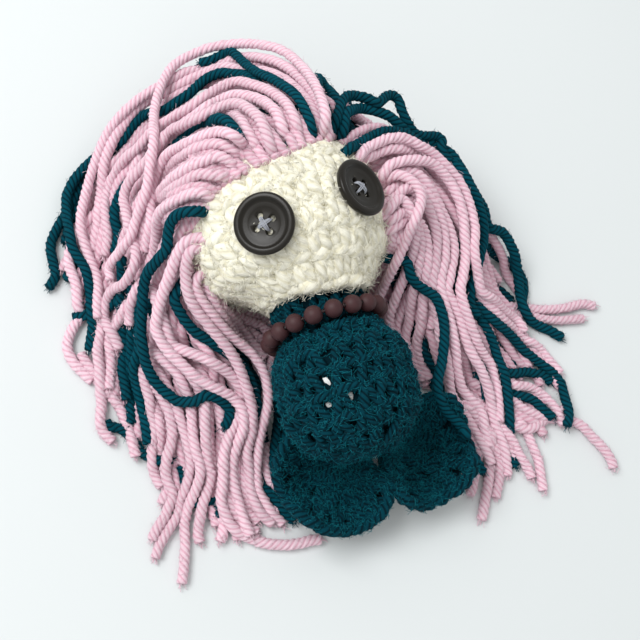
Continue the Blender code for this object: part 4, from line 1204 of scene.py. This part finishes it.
        (444, 300), (450, 322), (455, 350), (457, 370), (462, 390), (470, 402), (480, 415), (487, 435),
        (492, 450))),
    ("pink", 2, ((384, 205), (395, 203), (392, 218), (388, 235), (385, 250), (378, 270), (375, 285),
        (376, 300))),
    ("pink", 2, ((386, 215), (398, 212), (396, 228), (390, 248), (387, 265), (384, 282), (384, 300))),
    ("pink", 2, ((388, 236), (404, 234), (412, 248), (408, 268), (400, 288), (396, 305))),
    ("pink", 2, ((388, 243), (405, 243), (420, 254), (418, 275), (410, 295), (402, 315), (400, 335))),
    ("pink", 2, ((386, 208), (410, 204), (428, 218), (437, 245), (432, 262), (428, 280), (430, 305),
        (430, 330))),
    ("teal", 3, ((452, 240), (465, 262), (468, 285), (474, 300), (480, 310), (495, 322), (510, 335),
        (522, 350), (535, 361), (548, 373), (557, 387), (563, 403), (566, 415), (564, 427))),
    ("teal", 3, ((458, 280), (470, 300), (480, 320), (490, 340), (497, 360), (503, 375), (506, 395),
        (508, 415), (509, 437))),
    ("teal", 4, ((470, 235), (485, 245), (497, 255), (508, 268), (515, 285), (518, 300), (516, 318))),
    ("teal", 3, ((478, 352), (495, 370), (510, 375), (525, 375), (540, 380), (549, 388))),
    ("teal", 3, ((488, 380), (502, 392), (515, 398), (528, 402), (540, 412), (550, 420))),
    ("pink", 2, ((468, 280), (480, 300), (497, 318), (510, 330), (522, 343), (532, 350), (540, 360),
        (555, 380))),
    ("pink", 4, ((505, 310), (518, 320), (530, 322), (545, 322), (560, 321), (575, 318), (587, 321))),
    ("pink", 4, ((515, 325), (530, 333), (545, 336), (560, 336), (575, 335))),
    ("pink", 3, ((485, 365), (498, 378), (512, 385), (525, 388), (540, 397), (552, 408), (562, 425))),
    ("pink", 3, ((485, 385), (498, 393), (512, 402), (520, 410), (535, 418), (548, 425), (563, 432),
        (575, 438), (585, 450), (595, 462), (603, 475), (606, 485))),
    ("pink", 3, ((495, 415), (512, 430), (525, 437), (540, 435), (555, 432))),
    ("pink", 3, ((503, 425), (515, 445), (523, 460), (530, 475), (533, 495), (535, 508))),
    ("pink", 2, ((495, 428), (503, 445), (510, 460), (518, 475), (523, 490))),
    ("pink", 1, ((480, 418), (490, 440), (488, 455), (484, 478), (482, 500), (478, 520), (475, 537))),
    ("pink", 1, ((470, 440), (475, 465), (470, 480), (468, 495), (464, 512))),
    ("pink", 2, ((492, 440), (497, 465), (495, 480), (490, 500), (487, 515))),
    ("pink", 2, ((485, 410), (500, 440), (507, 455), (513, 470))),
    ("teal", 3, ((490, 460), (498, 478), (503, 489))),
    ("teal", 2, ((446, 250), (456, 275), (462, 300), (470, 325), (478, 348), (484, 372), (488, 400))),
    ("teal", 2, ((392, 190), (398, 205), (398, 225), (392, 245), (384, 262))),
    ("pink", 5.0, ((205, 296), (222, 309), (244, 319), (262, 327), (272, 345))),
    ("pink", 5.6, ((214, 300), (238, 311), (258, 319), (274, 331))),
    ("pink", 6.4, ((196, 306), (220, 320), (246, 332), (264, 350), (270, 380))),
    ("teal", 9, ((262, 350), (270, 375), (274, 400), (274, 425), (268, 450), (260, 475), (257, 495))),
    ("teal", 9, ((266, 360), (277, 390), (281, 415), (279, 440), (270, 462), (262, 480))),
    ("teal", 9, ((270, 385), (284, 420), (287, 436), (281, 452))),
)

# Hair guides, which the solids follow more loosely: of the root (turn from the face in degrees,
# height as a share of the head's), then the places along the tail, as shares of the hair's reach
HAIR_REACH = 100
HAIR_GUIDES = {
    "right": (
        ((34, 0.66), ((0.21, 0.31, 0.56), (0.13, 0.60, 0.40), (-0.13, 0.69, 0.26),
                      (-0.40, 0.58, 0.16),
                      (-0.60, 0.41, 0.09), (-0.73, 0.22, 0.065), (-0.81, 0.05, 0.06))),
        ((2, 0.42), ((-0.06, 0.28, 0.60), (-0.18, 0.42, 0.46), (-0.36, 0.38, 0.32),
                     (-0.52, 0.28, 0.18),
                     (-0.65, 0.12, 0.10), (-0.77, -0.05, 0.07), (-0.83, -0.20, 0.06))),
        ((-27, 0.37), ((-0.23, 0.20, 0.58), (-0.36, 0.20, 0.46), (-0.48, 0.12, 0.32),
                       (-0.59, 0.01, 0.18),
                       (-0.68, -0.15, 0.11), (-0.76, -0.33, 0.08), (-0.80, -0.49, 0.06))),
        ((-52, 0.28), ((-0.34, 0.06, 0.49), (-0.44, -0.02, 0.38), (-0.52, -0.14, 0.26),
                       (-0.58, -0.29, 0.15),
                       (-0.63, -0.49, 0.10), (-0.70, -0.70, 0.08), (-0.77, -0.88, 0.06))),
        ((-70, -0.08), ((-0.37, -0.07, 0.38), (-0.42, -0.20, 0.30), (-0.43, -0.34, 0.20),
                        (-0.45, -0.51, 0.14),
                        (-0.50, -0.69, 0.10), (-0.56, -0.86, 0.08), (-0.61, -1.03, 0.06))),
        ((-86, -0.42), ((-0.37, -0.18, 0.30), (-0.35, -0.30, 0.24), (-0.30, -0.41, 0.18),
                        (-0.30, -0.55, 0.13),
                        (-0.36, -0.69, 0.10), (-0.40, -0.85, 0.08), (-0.38, -1.00, 0.06))),
    ),
    "left": (
        ((44, 0.66), ((0.39, 0.24, 0.50), (0.56, 0.16, 0.42), (0.70, 0.00, 0.32),
                      (0.78, -0.18, 0.22),
                      (0.85, -0.34, 0.14), (0.92, -0.47, 0.08), (1.00, -0.56, 0.06))),
        ((62, 0.44), ((0.42, 0.09, 0.46), (0.54, -0.05, 0.38), (0.62, -0.24, 0.28),
                      (0.67, -0.44, 0.19),
                      (0.73, -0.65, 0.12), (0.80, -0.84, 0.08), (0.87, -1.00, 0.06))),
        ((72, 0.08), ((0.40, -0.02, 0.41), (0.47, -0.16, 0.34), (0.52, -0.36, 0.25),
                      (0.56, -0.55, 0.18),
                      (0.59, -0.75, 0.12), (0.62, -0.93, 0.08), (0.65, -1.08, 0.06))),
        ((80, -0.30), ((0.37, -0.10, 0.37), (0.42, -0.23, 0.30), (0.42, -0.40, 0.24),
                       (0.43, -0.58, 0.18),
                       (0.45, -0.76, 0.13), (0.46, -0.93, 0.09), (0.43, -1.09, 0.06))),
    ),
}

# Tails from the crown and the back of the head, which fall behind it and lie on the floor
CROWN_GUIDES = {
    "right": (
        ((34, 0.90), ((0.24, 0.33, 0.40), (0.26, 0.42, 0.22), (0.20, 0.50, 0.08),
                      (0.05, 0.56, 0.03),
                      (-0.15, 0.58, 0.02), (-0.34, 0.52, 0.02))),
        ((170, 0.85), ((0.02, 0.33, 0.22), (0.00, 0.42, 0.10), (-0.08, 0.50, 0.03),
                       (-0.25, 0.52, 0.02),
                       (-0.42, 0.46, 0.02), (-0.54, 0.36, 0.02))),
        ((-60, 0.80), ((-0.16, 0.31, 0.34), (-0.26, 0.40, 0.20), (-0.38, 0.44, 0.07),
                       (-0.52, 0.40, 0.03),
                       (-0.64, 0.30, 0.02), (-0.72, 0.18, 0.02))),
        ((-110, 0.70), ((-0.28, 0.24, 0.22), (-0.38, 0.26, 0.12), (-0.50, 0.22, 0.04),
                        (-0.62, 0.12, 0.02),
                        (-0.72, -0.02, 0.02), (-0.78, -0.18, 0.02))),
    ),
    "left": (
        ((36, 0.88), ((0.26, 0.33, 0.42), (0.32, 0.40, 0.26), (0.40, 0.42, 0.12),
                      (0.52, 0.38, 0.04),
                      (0.62, 0.30, 0.02), (0.70, 0.20, 0.02))),
        ((60, 0.85), ((0.28, 0.31, 0.36), (0.38, 0.36, 0.20), (0.50, 0.33, 0.08),
                      (0.62, 0.24, 0.03),
                      (0.72, 0.12, 0.02), (0.79, -0.02, 0.02))),
        ((110, 0.70), ((0.33, 0.22, 0.24), (0.44, 0.22, 0.12), (0.56, 0.14, 0.04),
                       (0.66, 0.02, 0.02),
                       (0.74, -0.12, 0.02), (0.80, -0.26, 0.02))),
    ),
}


# Strands: places along them, their layers and how thick they show
ROUTE_STEP = 2.0
ROUTE_LEAST = 6
LAYER_HEIGHT = 3.2
STRAND_SPACING = 2.95
ROOT_DEPTH = 3.0
ROOT_CLEARANCE = 0.3
HIDDEN_START = 8.0
SHOWN_YARN_SHARE = 1.07
FLOOR_CLEARANCE = YARN_RADIUS + 0.05
TAIL_SECTIONS = 210
TAIL_SIDES = 16
FILL_SECTIONS = 150
FILL_SIDES = 8
STRAND_GROOVE = 0.15
STRAND_FIBRE_COUNT = 170
STRAND_FIBRE_REACH = 2.0
STRAND_FIBRE_THICKNESS = 0.05

# The hair's outer surface, as samples of the guides
DOME_GUIDES = 22
DOME_POINTS = 36
DOME_SOFTNESS = 3.0
LIFT_START = 30.0
LIFT_ROUNDS = 12
LIFT_SHARE = 0.6
HEAD_TOP_HEIGHT, HEAD_LOW_HEIGHT, HEAD_SEARCH_STEP = 66, 20, -0.2
HEAD_MARGIN = 0.6

# Tails inside the ones that show: how far round and up each shell is rooted, and how it shrinks
FILL_TAILS = {"right": 26, "left": 18}
CROWN_TAILS = {"right": 26, "left": 16}
FILL_SHELLS = (0.12, 0.34, 0.58, 0.85)
FILL_SHRINK = 0.42
FILL_SINK = 0.55
FILL_TURN_DEG, FILL_TURN_MORE_DEG = 22, 75
FILL_TOP_SHARE, FILL_MOST_SHARE = 0.95, 0.97
FILL_RISE = 0.5
FILL_MIDDLE_DROP = 12.0
FILL_SPREAD, CROWN_SPREAD = 1.8, 2.0
SPREAD_SHAPE = (1, 1, 0.3)
FILL_POINTS, CROWN_POINTS, CROWN_FEWEST_POINTS = 80, 60, 42

# Short strands between the roots
HAIRLINE_GAP = 9.0
HAIRLINE_STEPS = 10
HAIRLINE_ROOT_STEPS = 3
HAIRLINE_SAG = 0.8

# Room that strands leave over and under the tail
TAIL_CLEARANCE = 1.3
TAIL_LEAST_POINTS = 8
TAIL_EDGE_REACH = 1.16
TAIL_EDGE_WIDTH = 0.09
TAIL_OVER = 4.4
TAIL_UNDER = 1.8

# Order in which strands lie on each other, from the top
LAYER_ORDER = 1000
FILL_ORDER = 3500
CROWN_ORDER = 8500
HAIRLINE_ORDER = 2600
FILL_SINKING = 0.6

# Spreading the strands apart
SPREAD_ROUNDS = 66
REFRESH_ROUNDS = 6
NEAR_SHARE = 1.5
OWN_POINTS_APART = 5
SINKING_LENGTH = 34
SINKING_STEP = 0.32
SINKING_POWER = 0.7
CROSSING_START, CROSSING_RANGE = 0.04, 0.14
DEPTH_MOST = 1.2
SIGHT_SHARE = 0.5
PUSH_SHARE = 0.4
COUNT_POWER = 0.6
EVEN_SHARE = 0.5
END_SHARE = 0.4


def head_point(turn, height, clearance=0.0):
    share = np.abs(height) / HEAD_HALF_HEIGHT
    radius = HEAD_RADIUS * (1 - share**HEAD_SQUARENESS) ** (1 / HEAD_SQUARENESS) + clearance
    return np.array((radius * math.sin(turn), height, AXIS_HEIGHT + radius * math.cos(turn)))


def blended_guide(guides, share):
    place = share * (len(guides) - 1)
    low = min(int(place), len(guides) - 2)
    mix = place - low
    (turn_a, height_a), spots_a = guides[low]
    (turn_b, height_b), spots_b = guides[low + 1]
    turn = turn_a + (turn_b - turn_a) * mix
    height = height_a + (height_b - height_a) * mix
    spots = np.array(spots_a) * (1 - mix) + np.array(spots_b) * mix
    return math.radians(turn), height, spots * HAIR_REACH


def dome_samples():
    """Places all over the hair's outer surface, along blends of the guides."""
    samples = []
    for guides in HAIR_GUIDES.values():
        for share in np.linspace(0, 1, DOME_GUIDES):
            turn, height, spots = blended_guide(guides, share)
            root = head_point(turn, height * HEAD_HALF_HEIGHT, YARN_RADIUS)
            samples.append(smooth_path([root, *spots], DOME_POINTS))
    return np.concatenate(samples)


def dome_height(places, samples):
    """The height of the hair's outer surface over places in the plane."""
    gaps = ((places[:, None, :2] - samples[None, :, :2]) ** 2).sum(axis=2)
    weight = 1 / (gaps + DOME_SOFTNESS) ** 2
    return (weight * samples[:, 2]).sum(axis=1) / weight.sum(axis=1)


def cast(pixels, heights):
    """The points at those heights that the photograph shows at those pixels."""
    across = (pixels[:, :1] - IMAGE_MIDDLE) / FOCAL_PIXELS * CAMERA_RIGHT
    rays = across - (pixels[:, 1:] - IMAGE_MIDDLE) / FOCAL_PIXELS * CAMERA_UP - CAMERA_BACK
    reach = (heights - CAMERA_PLACE[2]) / rays[:, 2]
    return CAMERA_PLACE + reach[:, None] * rays


def swell_size(points, radius, half_height, squareness, drop=0.0):
    """How far out of a swelling form's middle places lie: 1 on its surface."""
    across = np.hypot(points[:, 0], points[:, 2] - AXIS_HEIGHT) / radius
    along = np.abs(points[:, 1] + drop) / half_height
    return np.maximum((across**squareness + along**squareness) ** (1 / squareness), 0.01)


def head_size(points, margin):
    return swell_size(points, HEAD_RADIUS + margin, HEAD_HALF_HEIGHT + margin, HEAD_SQUARENESS)


def body_size(points, margin):
    return swell_size(points, BODY_RADIUS + margin, BODY_HALF_LENGTH + margin, BODY_SQUARENESS,
                      BODY_DROP)


def on_head(pixel):
    """Where the photograph shows the head at a pixel, or None beside it."""
    heights = np.arange(HEAD_TOP_HEIGHT, HEAD_LOW_HEIGHT, HEAD_SEARCH_STEP)
    points = cast(np.tile(np.asarray(pixel, float), (len(heights), 1)), heights)
    inside = head_size(points, HEAD_MARGIN) < 1
    return points[np.argmax(inside)] if inside.any() else None


def lifted_route(pixels, layer, samples):
    """A route in the photograph, lifted onto the hair's outer surface or a layer under it."""
    pixels = np.asarray(pixels, float)
    heights = np.full(len(pixels), LIFT_START)
    for _ in range(LIFT_ROUNDS):
        places = cast(pixels, heights)
        wanted = dome_height(places, samples) - LAYER_HEIGHT * layer
        heights = heights + LIFT_SHARE * (np.maximum(wanted, FLOOR_CLEARANCE) - heights)
    points = cast(pixels, heights)
    root = on_head(pixels[0])
    if root is None:
        before = points[0] + unit(points[0] - points[1]) * HIDDEN_START - (0, 0, 2 * LAYER_HEIGHT)
        before[2] = max(before[2], FLOOR_CLEARANCE)
        points[0, 2] = max(points[0, 2] - 0.5 * LAYER_HEIGHT, FLOOR_CLEARANCE)
        return np.vstack([before, points]), False
    into = unit(np.array(HEAD_MIDDLE) - root)
    return np.vstack([root + into * ROOT_DEPTH, root, points[1:]]), True


def resampled(points):
    length = np.linalg.norm(np.diff(points, axis=0), axis=1).sum()
    return smooth_path(points, max(int(length / ROUTE_STEP), ROUTE_LEAST))


def fill_route(guides, share, direction, shell, end_share):
    """A tail inside the ones that show. Each shell lies nearer the head, rooted further back."""
    turn, height, spots = blended_guide(guides, share)
    turn += direction * math.radians(FILL_TURN_DEG + FILL_TURN_MORE_DEG * share) * shell
    height += (FILL_TOP_SHARE - height) * shell * (1 - share) + FILL_RISE * shell * share
    root = head_point(turn, min(height, FILL_MOST_SHARE) * HEAD_HALF_HEIGHT, ROOT_CLEARANCE)
    middle = np.array((0.0, -FILL_MIDDLE_DROP * share, AXIS_HEIGHT))
    tight = (1 - FILL_SHRINK * shell) * np.array((1, 1, 0)) + (0, 0, 1)
    aside = RANDOM.normal(0, FILL_SPREAD, spots.shape) * SPREAD_SHAPE
    spots = middle + (spots - middle) * tight + aside
    spots[:, 2] = spots[:, 2] * (1 - FILL_SINK * shell) - LAYER_HEIGHT
    keep_above(spots, FLOOR_CLEARANCE)
    path = smooth_path([root, *spots], FILL_POINTS)
    return path[:int(FILL_POINTS * end_share)]


def hairline(routes):
    """Short strands between neighbouring roots, a little under the strands that show."""
    between = []
    for i, first in enumerate(routes):
        for second in routes[i + 1:]:
            gap = np.linalg.norm(first[1] - second[1])
            if gap > HAIRLINE_GAP:
                continue
            steps = min(len(first), len(second), HAIRLINE_STEPS)
            share = RANDOM.uniform(0.35, 0.65)
            blend = first[:steps] * (1 - share) + second[:steps] * share
            sag = np.minimum(np.arange(steps) / HAIRLINE_ROOT_STEPS, 1)[:, None]
            lower = sag * (0, 0, HAIRLINE_SAG * LAYER_HEIGHT)
            between.append(blend - lower + RANDOM.normal(0, 0.3, 3) * sag)
    return between


def place_on_lobe(points, side):
    """Places measured from a lobe's middle along its own width and length."""
    across = (points[:, 0] - LOBE_SHIFT) * side - LOBE_SPACING
    along = points[:, 1] + LOBE_DROP
    x = across * math.cos(LOBE_SPREAD) - along * math.sin(LOBE_SPREAD)
    return x, across * math.sin(LOBE_SPREAD) + along * math.cos(LOBE_SPREAD)


def off_the_tail(route):
    """The part of a route before it comes to the tail."""
    reach = np.minimum(*(lobe_reach(*place_on_lobe(route, side)) for side in (-1, 1)))
    near = np.nonzero(reach < TAIL_CLEARANCE)[0]
    last = near[0] if len(near) else len(route)
    return route[:max(last, TAIL_LEAST_POINTS)]


def kept_clear(points):
    """Points moved out of the head, body, tail and floor."""
    for middle, form_size in ((HEAD_MIDDLE, head_size), (BODY_MIDDLE, body_size)):
        centre = np.array(middle)
        size = form_size(points, YARN_RADIUS)[:, None]
        points = np.where(size < 1, centre + (points - centre) / size, points)
    for side in (-1, 1):
        reach = lobe_reach(*place_on_lobe(points, side))
        sheet = lobe_height(reach, 1)
        over = sheet + TAIL_OVER + YARN_RADIUS
        under = sheet - LOBE_THICKNESS - TAIL_UNDER - YARN_RADIUS
        inside = reach < TAIL_EDGE_REACH
        beneath = inside & (under > FLOOR_CLEARANCE) & (points[:, 2] < (over + under) / 2)
        lift = over * np.clip((TAIL_EDGE_REACH - reach) / TAIL_EDGE_WIDTH, 0, 1)
        wanted = np.where(beneath, np.minimum(points[:, 2], under), np.maximum(points[:, 2], lift))
        shift = np.where(inside, wanted - points[:, 2], 0)
        points = points + shift[:, None] * CAMERA_BACK / CAMERA_BACK[2]
    keep_above(points, FLOOR_CLEARANCE)
    return points


def near_pairs(points, strand_of, order, reach):
    """Pairs of points that lie near each other, as the upper ones and the lower ones."""
    tree = KDTree(len(points))
    for i, point in enumerate(points):
        tree.insert(point, i)
    tree.balance()
    firsts, seconds = [], []
    for i, point in enumerate(points):
        for _, j, _ in tree.find_range(point, reach):
            if j > i and (strand_of[i] != strand_of[j] or j - i > OWN_POINTS_APART):
                firsts.append(i)
                seconds.append(j)
    firsts, seconds = np.array(firsts, int), np.array(seconds, int)
    swap = order[seconds] < order[firsts]
    return np.where(swap, seconds, firsts), np.where(swap, firsts, seconds)


def spread(routes, orders, sinking):
    """Moves the strands apart, mostly along the line of sight, until they lie on each other."""
    lengths = [len(route) for route in routes]
    corners = np.concatenate([[0], np.cumsum(lengths)])
    drawn = np.concatenate(routes)
    points = drawn.copy()
    strand_of = np.repeat(np.arange(len(routes)), lengths)
    order = np.repeat(orders, lengths)
    roots, ends = corners[:-1], corners[1:] - 1
    held = np.concatenate([roots, roots + 1])
    inner = np.setdiff1d(np.arange(len(points)), np.concatenate([roots, ends]))
    to_end = np.concatenate([np.arange(length)[::-1] * ROUTE_STEP for length in lengths])
    sink = np.clip(1 - to_end / SINKING_LENGTH, 0, 1) ** SINKING_POWER * np.repeat(sinking, lengths)
    for turn in range(SPREAD_ROUNDS):
        if turn % REFRESH_ROUNDS == 0:
            above, below = near_pairs(points, strand_of, order, STRAND_SPACING * NEAR_SHARE)
            tangents = np.zeros_like(points)
            tangents[inner] = unit(points[inner + 1] - points[inner - 1])
            crossing = 1 - np.abs((tangents[above] * tangents[below]).sum(axis=1))
            crossing = np.clip((crossing - CROSSING_START) / CROSSING_RANGE, 0, 1)[:, None]
        points = points - sink[:, None] * SINKING_STEP * CAMERA_BACK
        between = points[above] - points[below]
        depth = (between @ CAMERA_BACK)[:, None]
        aside = between - depth * CAMERA_BACK
        sideways = np.minimum((aside**2).sum(axis=1, keepdims=True), STRAND_SPACING**2)
        lack = np.clip(np.sqrt(STRAND_SPACING**2 - sideways) - depth, 0, DEPTH_MOST)
        distance = np.maximum(np.linalg.norm(between, axis=1, keepdims=True), 0.05)
        beside = between / distance * np.maximum(STRAND_SPACING - distance, 0)
        beside = beside - SIGHT_SHARE * (beside - (beside @ CAMERA_BACK)[:, None] * CAMERA_BACK)
        push = (crossing * lack * CAMERA_BACK + (1 - crossing) * beside) * PUSH_SHARE
        total, count = np.zeros_like(points), np.zeros(len(points))
        moved = np.linalg.norm(push, axis=1) > 0
        np.add.at(total, above[moved], push[moved])
        np.add.at(total, below[moved], -push[moved])
        np.add.at(count, above[moved], 1)
        np.add.at(count, below[moved], 1)
        points = points + total / np.maximum(count, 1)[:, None] ** COUNT_POWER
        shift = points - drawn
        middle = (shift[inner - 1] + shift[inner + 1]) / 2
        points[inner] += (middle - shift[inner]) * EVEN_SHARE
        points[ends] += (shift[ends - 1] - shift[ends]) * END_SHARE
        points = kept_clear(points)
        points[held] = drawn[held]
    return np.split(points, corners[1:-1])


TUFT_FIBRES = 12
TUFT_SIDES = 4
TUFT_THICKNESS = 0.10
TUFT_ROOT_DEPTH = 0.8
TUFT_LENGTHS = (0.5, 1.9)
TUFT_FAN = 0.42
TUFT_WIDTH = 0.55


def tufts(strands):
    """Short frayed fibres at the cut end of each strand."""
    starts, ways = [], []
    for strand in strands:
        heading = unit(strand[-1] - strand[-4])
        starts.append(np.tile(strand[-1], (TUFT_FIBRES, 1)))
        ways.append(heading + RANDOM.normal(0, TUFT_FAN, (TUFT_FIBRES, 3)))
    starts, ways = np.concatenate(starts), unit(np.concatenate(ways))
    starts = starts + RANDOM.normal(0, TUFT_WIDTH, starts.shape)
    length = RANDOM.uniform(*TUFT_LENGTHS, (len(starts), 1))
    points = np.stack([starts - ways * TUFT_ROOT_DEPTH, starts + ways * length * 0.5,
                       starts + ways * length], axis=1)
    keep_above(points, TUFT_CLEARANCE)
    return yarn_tubes(points, np.full(len(points), TUFT_THICKNESS), sides=TUFT_SIDES, plies=0,
                      groove=0, uneven=0, blunt=False)


SHARING_COST = 2.5


def grouped(strands, yarns):
    """Shares the strands out to the hair's nodes: to each its nearest, and then the rest."""
    groups = {}
    for yarn in ("pink", "teal"):
        numbers = [i for i, kind in enumerate(yarns) if kind == yarn]
        middles = {i: strands[i].mean(axis=0) for i in numbers}
        names = [name for name in sorted(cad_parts)
                 if name.startswith("hair_") and node_is(name, yarn)]
        centres = {name: np.array(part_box(name)).mean(axis=0) / MM for name in names}
        for name in names:
            nearest = min(middles, key=lambda i: np.linalg.norm(middles[i] - centres[name]))
            groups[name] = [nearest]
            del middles[nearest]
        for i, middle in middles.items():
            load = {name: np.linalg.norm(middle - centres[name]) + SHARING_COST * len(groups[name])
                    for name in names}
            groups[min(load, key=load.get)].append(i)
    return groups


TEAL_NODES = (
    "hair_right_top_02", "hair_right_top_06", "hair_right_under_02", "hair_right_under_06",
    "hair_left_top_02", "hair_left_top_06", "hair_left_under_04",
)


def node_is(name, yarn):
    return (name in TEAL_NODES) == (yarn == "teal")


def shown_routes():
    """The routes in the photograph, and the numbers of the pink ones that are rooted in sight."""
    samples = dome_samples()
    routes, rooted = [], []
    for number, (yarn, layer, pixels) in enumerate(HAIR_ROUTES):
        points, on_the_head = lifted_route(pixels, layer, samples)
        routes.append((resampled(points), yarn, layer * LAYER_ORDER + number, 1.0))
        if on_the_head and yarn == "pink":
            rooted.append(number)
    return routes, rooted


def hidden_routes(side, direction):
    """Tails that fill the hair on one side, and those that fall from the crown behind it."""
    routes = []
    for level, shell in enumerate(FILL_SHELLS):
        for i in range(FILL_TAILS[side]):
            share = (i + RANDOM.uniform(0.2, 0.8)) / FILL_TAILS[side]
            end_share = RANDOM.uniform(0.70, 0.95)
            route = fill_route(HAIR_GUIDES[side], share, direction, shell, end_share)
            yarn = "teal" if level and (i + level) % 3 else "pink"
            order = FILL_ORDER + level * LAYER_ORDER + i
            routes.append((resampled(off_the_tail(route)), yarn, order, FILL_SINKING))
    for i in range(CROWN_TAILS[side]):
        share = (i + RANDOM.uniform(0.1, 0.9)) / CROWN_TAILS[side]
        turn, height, spots = blended_guide(CROWN_GUIDES[side], share)
        spots = spots + RANDOM.normal(0, CROWN_SPREAD, spots.shape) * SPREAD_SHAPE
        root = head_point(turn + RANDOM.normal(0, 0.15), height * HEAD_HALF_HEIGHT, ROOT_CLEARANCE)
        route = kept_clear(smooth_path([root, *spots], CROWN_POINTS))
        route = route[:int(RANDOM.uniform(CROWN_FEWEST_POINTS, CROWN_POINTS))]
        yarn = "teal" if i % 3 == 1 else "pink"
        routes.append((resampled(off_the_tail(route)), yarn, CROWN_ORDER + i, FILL_SINKING))
    return routes


def make_hair():
    rows, rooted = shown_routes()
    shown = len(rows)
    for side, direction in (("right", -1), ("left", 1)):
        rows += hidden_routes(side, direction)
    for route in hairline([rows[i][0] for i in rooted]):
        rows.append((route, "pink", HAIRLINE_ORDER + len(rows) + 1, 0.0))
    routes, yarns, orders, sinking = zip(*rows)
    strands = spread(list(routes), np.array(orders), np.array(sinking))
    for name, numbers in grouped(strands, yarns).items():
        parts = []
        for group, sections, sides in (
            ([i for i in numbers if i < shown], TAIL_SECTIONS, TAIL_SIDES),
            ([i for i in numbers if i >= shown], FILL_SECTIONS, FILL_SIDES),
        ):
            if not group:
                continue
            paths = np.array([smooth_path(strands[i], sections) for i in group])
            thick = SHOWN_YARN_SHARE * YARN_RADIUS * RANDOM.normal(1, 0.03, len(paths))
            lock = yarn_tubes(paths, thick, sides=sides, groove=STRAND_GROOVE)
            loose = fuzz(lock, STRAND_FIBRE_COUNT * len(paths), STRAND_FIBRE_REACH,
                         STRAND_FIBRE_THICKNESS)
            parts += [lock, loose, tufts(paths)]
        whole = joined(parts)
        keep_above(whole["vertices"], LOCK_CLEARANCE)
        teal = name in TEAL_NODES
        add_yarn(name.replace("hair", "lock"), whole, TEAL if teal else PINK,
                 [name])


# The stage, in metres

FLOOR_SIZE = 1.6
FLOOR_COLOURS = ((0.665, 0.70, 0.705), (0.645, 0.68, 0.685))
FLOOR_NOISE_SCALE = 3
FLOOR_ROUGHNESS = 0.9
ROOM_COLOUR = (0.98, 0.985, 0.98, 1)
ROOM_STRENGTH = 0.75
WINDOW_SIZE = (0.6, 0.5)
WINDOW_ENERGY = 8.6
WINDOW_PLACE = (-0.50, 0.30, 0.86)
WINDOW_AIM = (0, -0.02, 0.02)
CAMERA_CLIPS = (0.01, 20)


def make_stage():
    """The pale surface under the doll, the lamp and the photograph's camera."""
    scene = bpy.context.scene
    shape = bmesh.new()
    bmesh.ops.create_grid(shape, x_segments=1, y_segments=1, size=FLOOR_SIZE)
    floor = bpy.data.objects.new("floor", mesh_of(shape, "floor"))
    scene.collection.objects.link(floor)
    floor.data.materials.append(
        plain_material("pale_floor", *FLOOR_COLOURS, FLOOR_NOISE_SCALE, FLOOR_ROUGHNESS))
    world = bpy.data.worlds.new("soft_room")
    scene.world = world
    world.use_nodes = True
    background = world.node_tree.nodes["Background"]
    background.inputs["Color"].default_value = ROOM_COLOUR
    background.inputs["Strength"].default_value = ROOM_STRENGTH
    lamp = bpy.data.lights.new("window", "AREA")
    lamp.shape = "RECTANGLE"
    lamp.size, lamp.size_y = WINDOW_SIZE
    lamp.energy = WINDOW_ENERGY
    window = bpy.data.objects.new("window", lamp)
    scene.collection.objects.link(window)
    window.location = WINDOW_PLACE
    aim = Vector(WINDOW_AIM) - window.location
    window.rotation_euler = aim.to_track_quat("-Z", "Y").to_euler()
    camera = bpy.data.objects.new("camera", bpy.data.cameras.new("camera"))
    scene.collection.objects.link(camera)
    camera.data.sensor_width = SENSOR_WIDTH
    camera.data.lens = SENSOR_WIDTH * FOCAL_PIXELS / IMAGE_SIZE
    camera.data.clip_start, camera.data.clip_end = CAMERA_CLIPS
    turn = Matrix((CAMERA_RIGHT, CAMERA_UP, CAMERA_BACK)).transposed().to_4x4()
    camera.matrix_world = Matrix.Translation(Vector(CAMERA_PLACE) * MM) @ turn
    scene.camera = camera
    scene.view_settings.view_transform = "Standard"


make_stage()
make_head()
make_body()
make_stuffing()
make_lobe(-1, "right")
make_lobe(1, "left")
make_button("right")
make_button("left")
make_necklace()
make_hair()
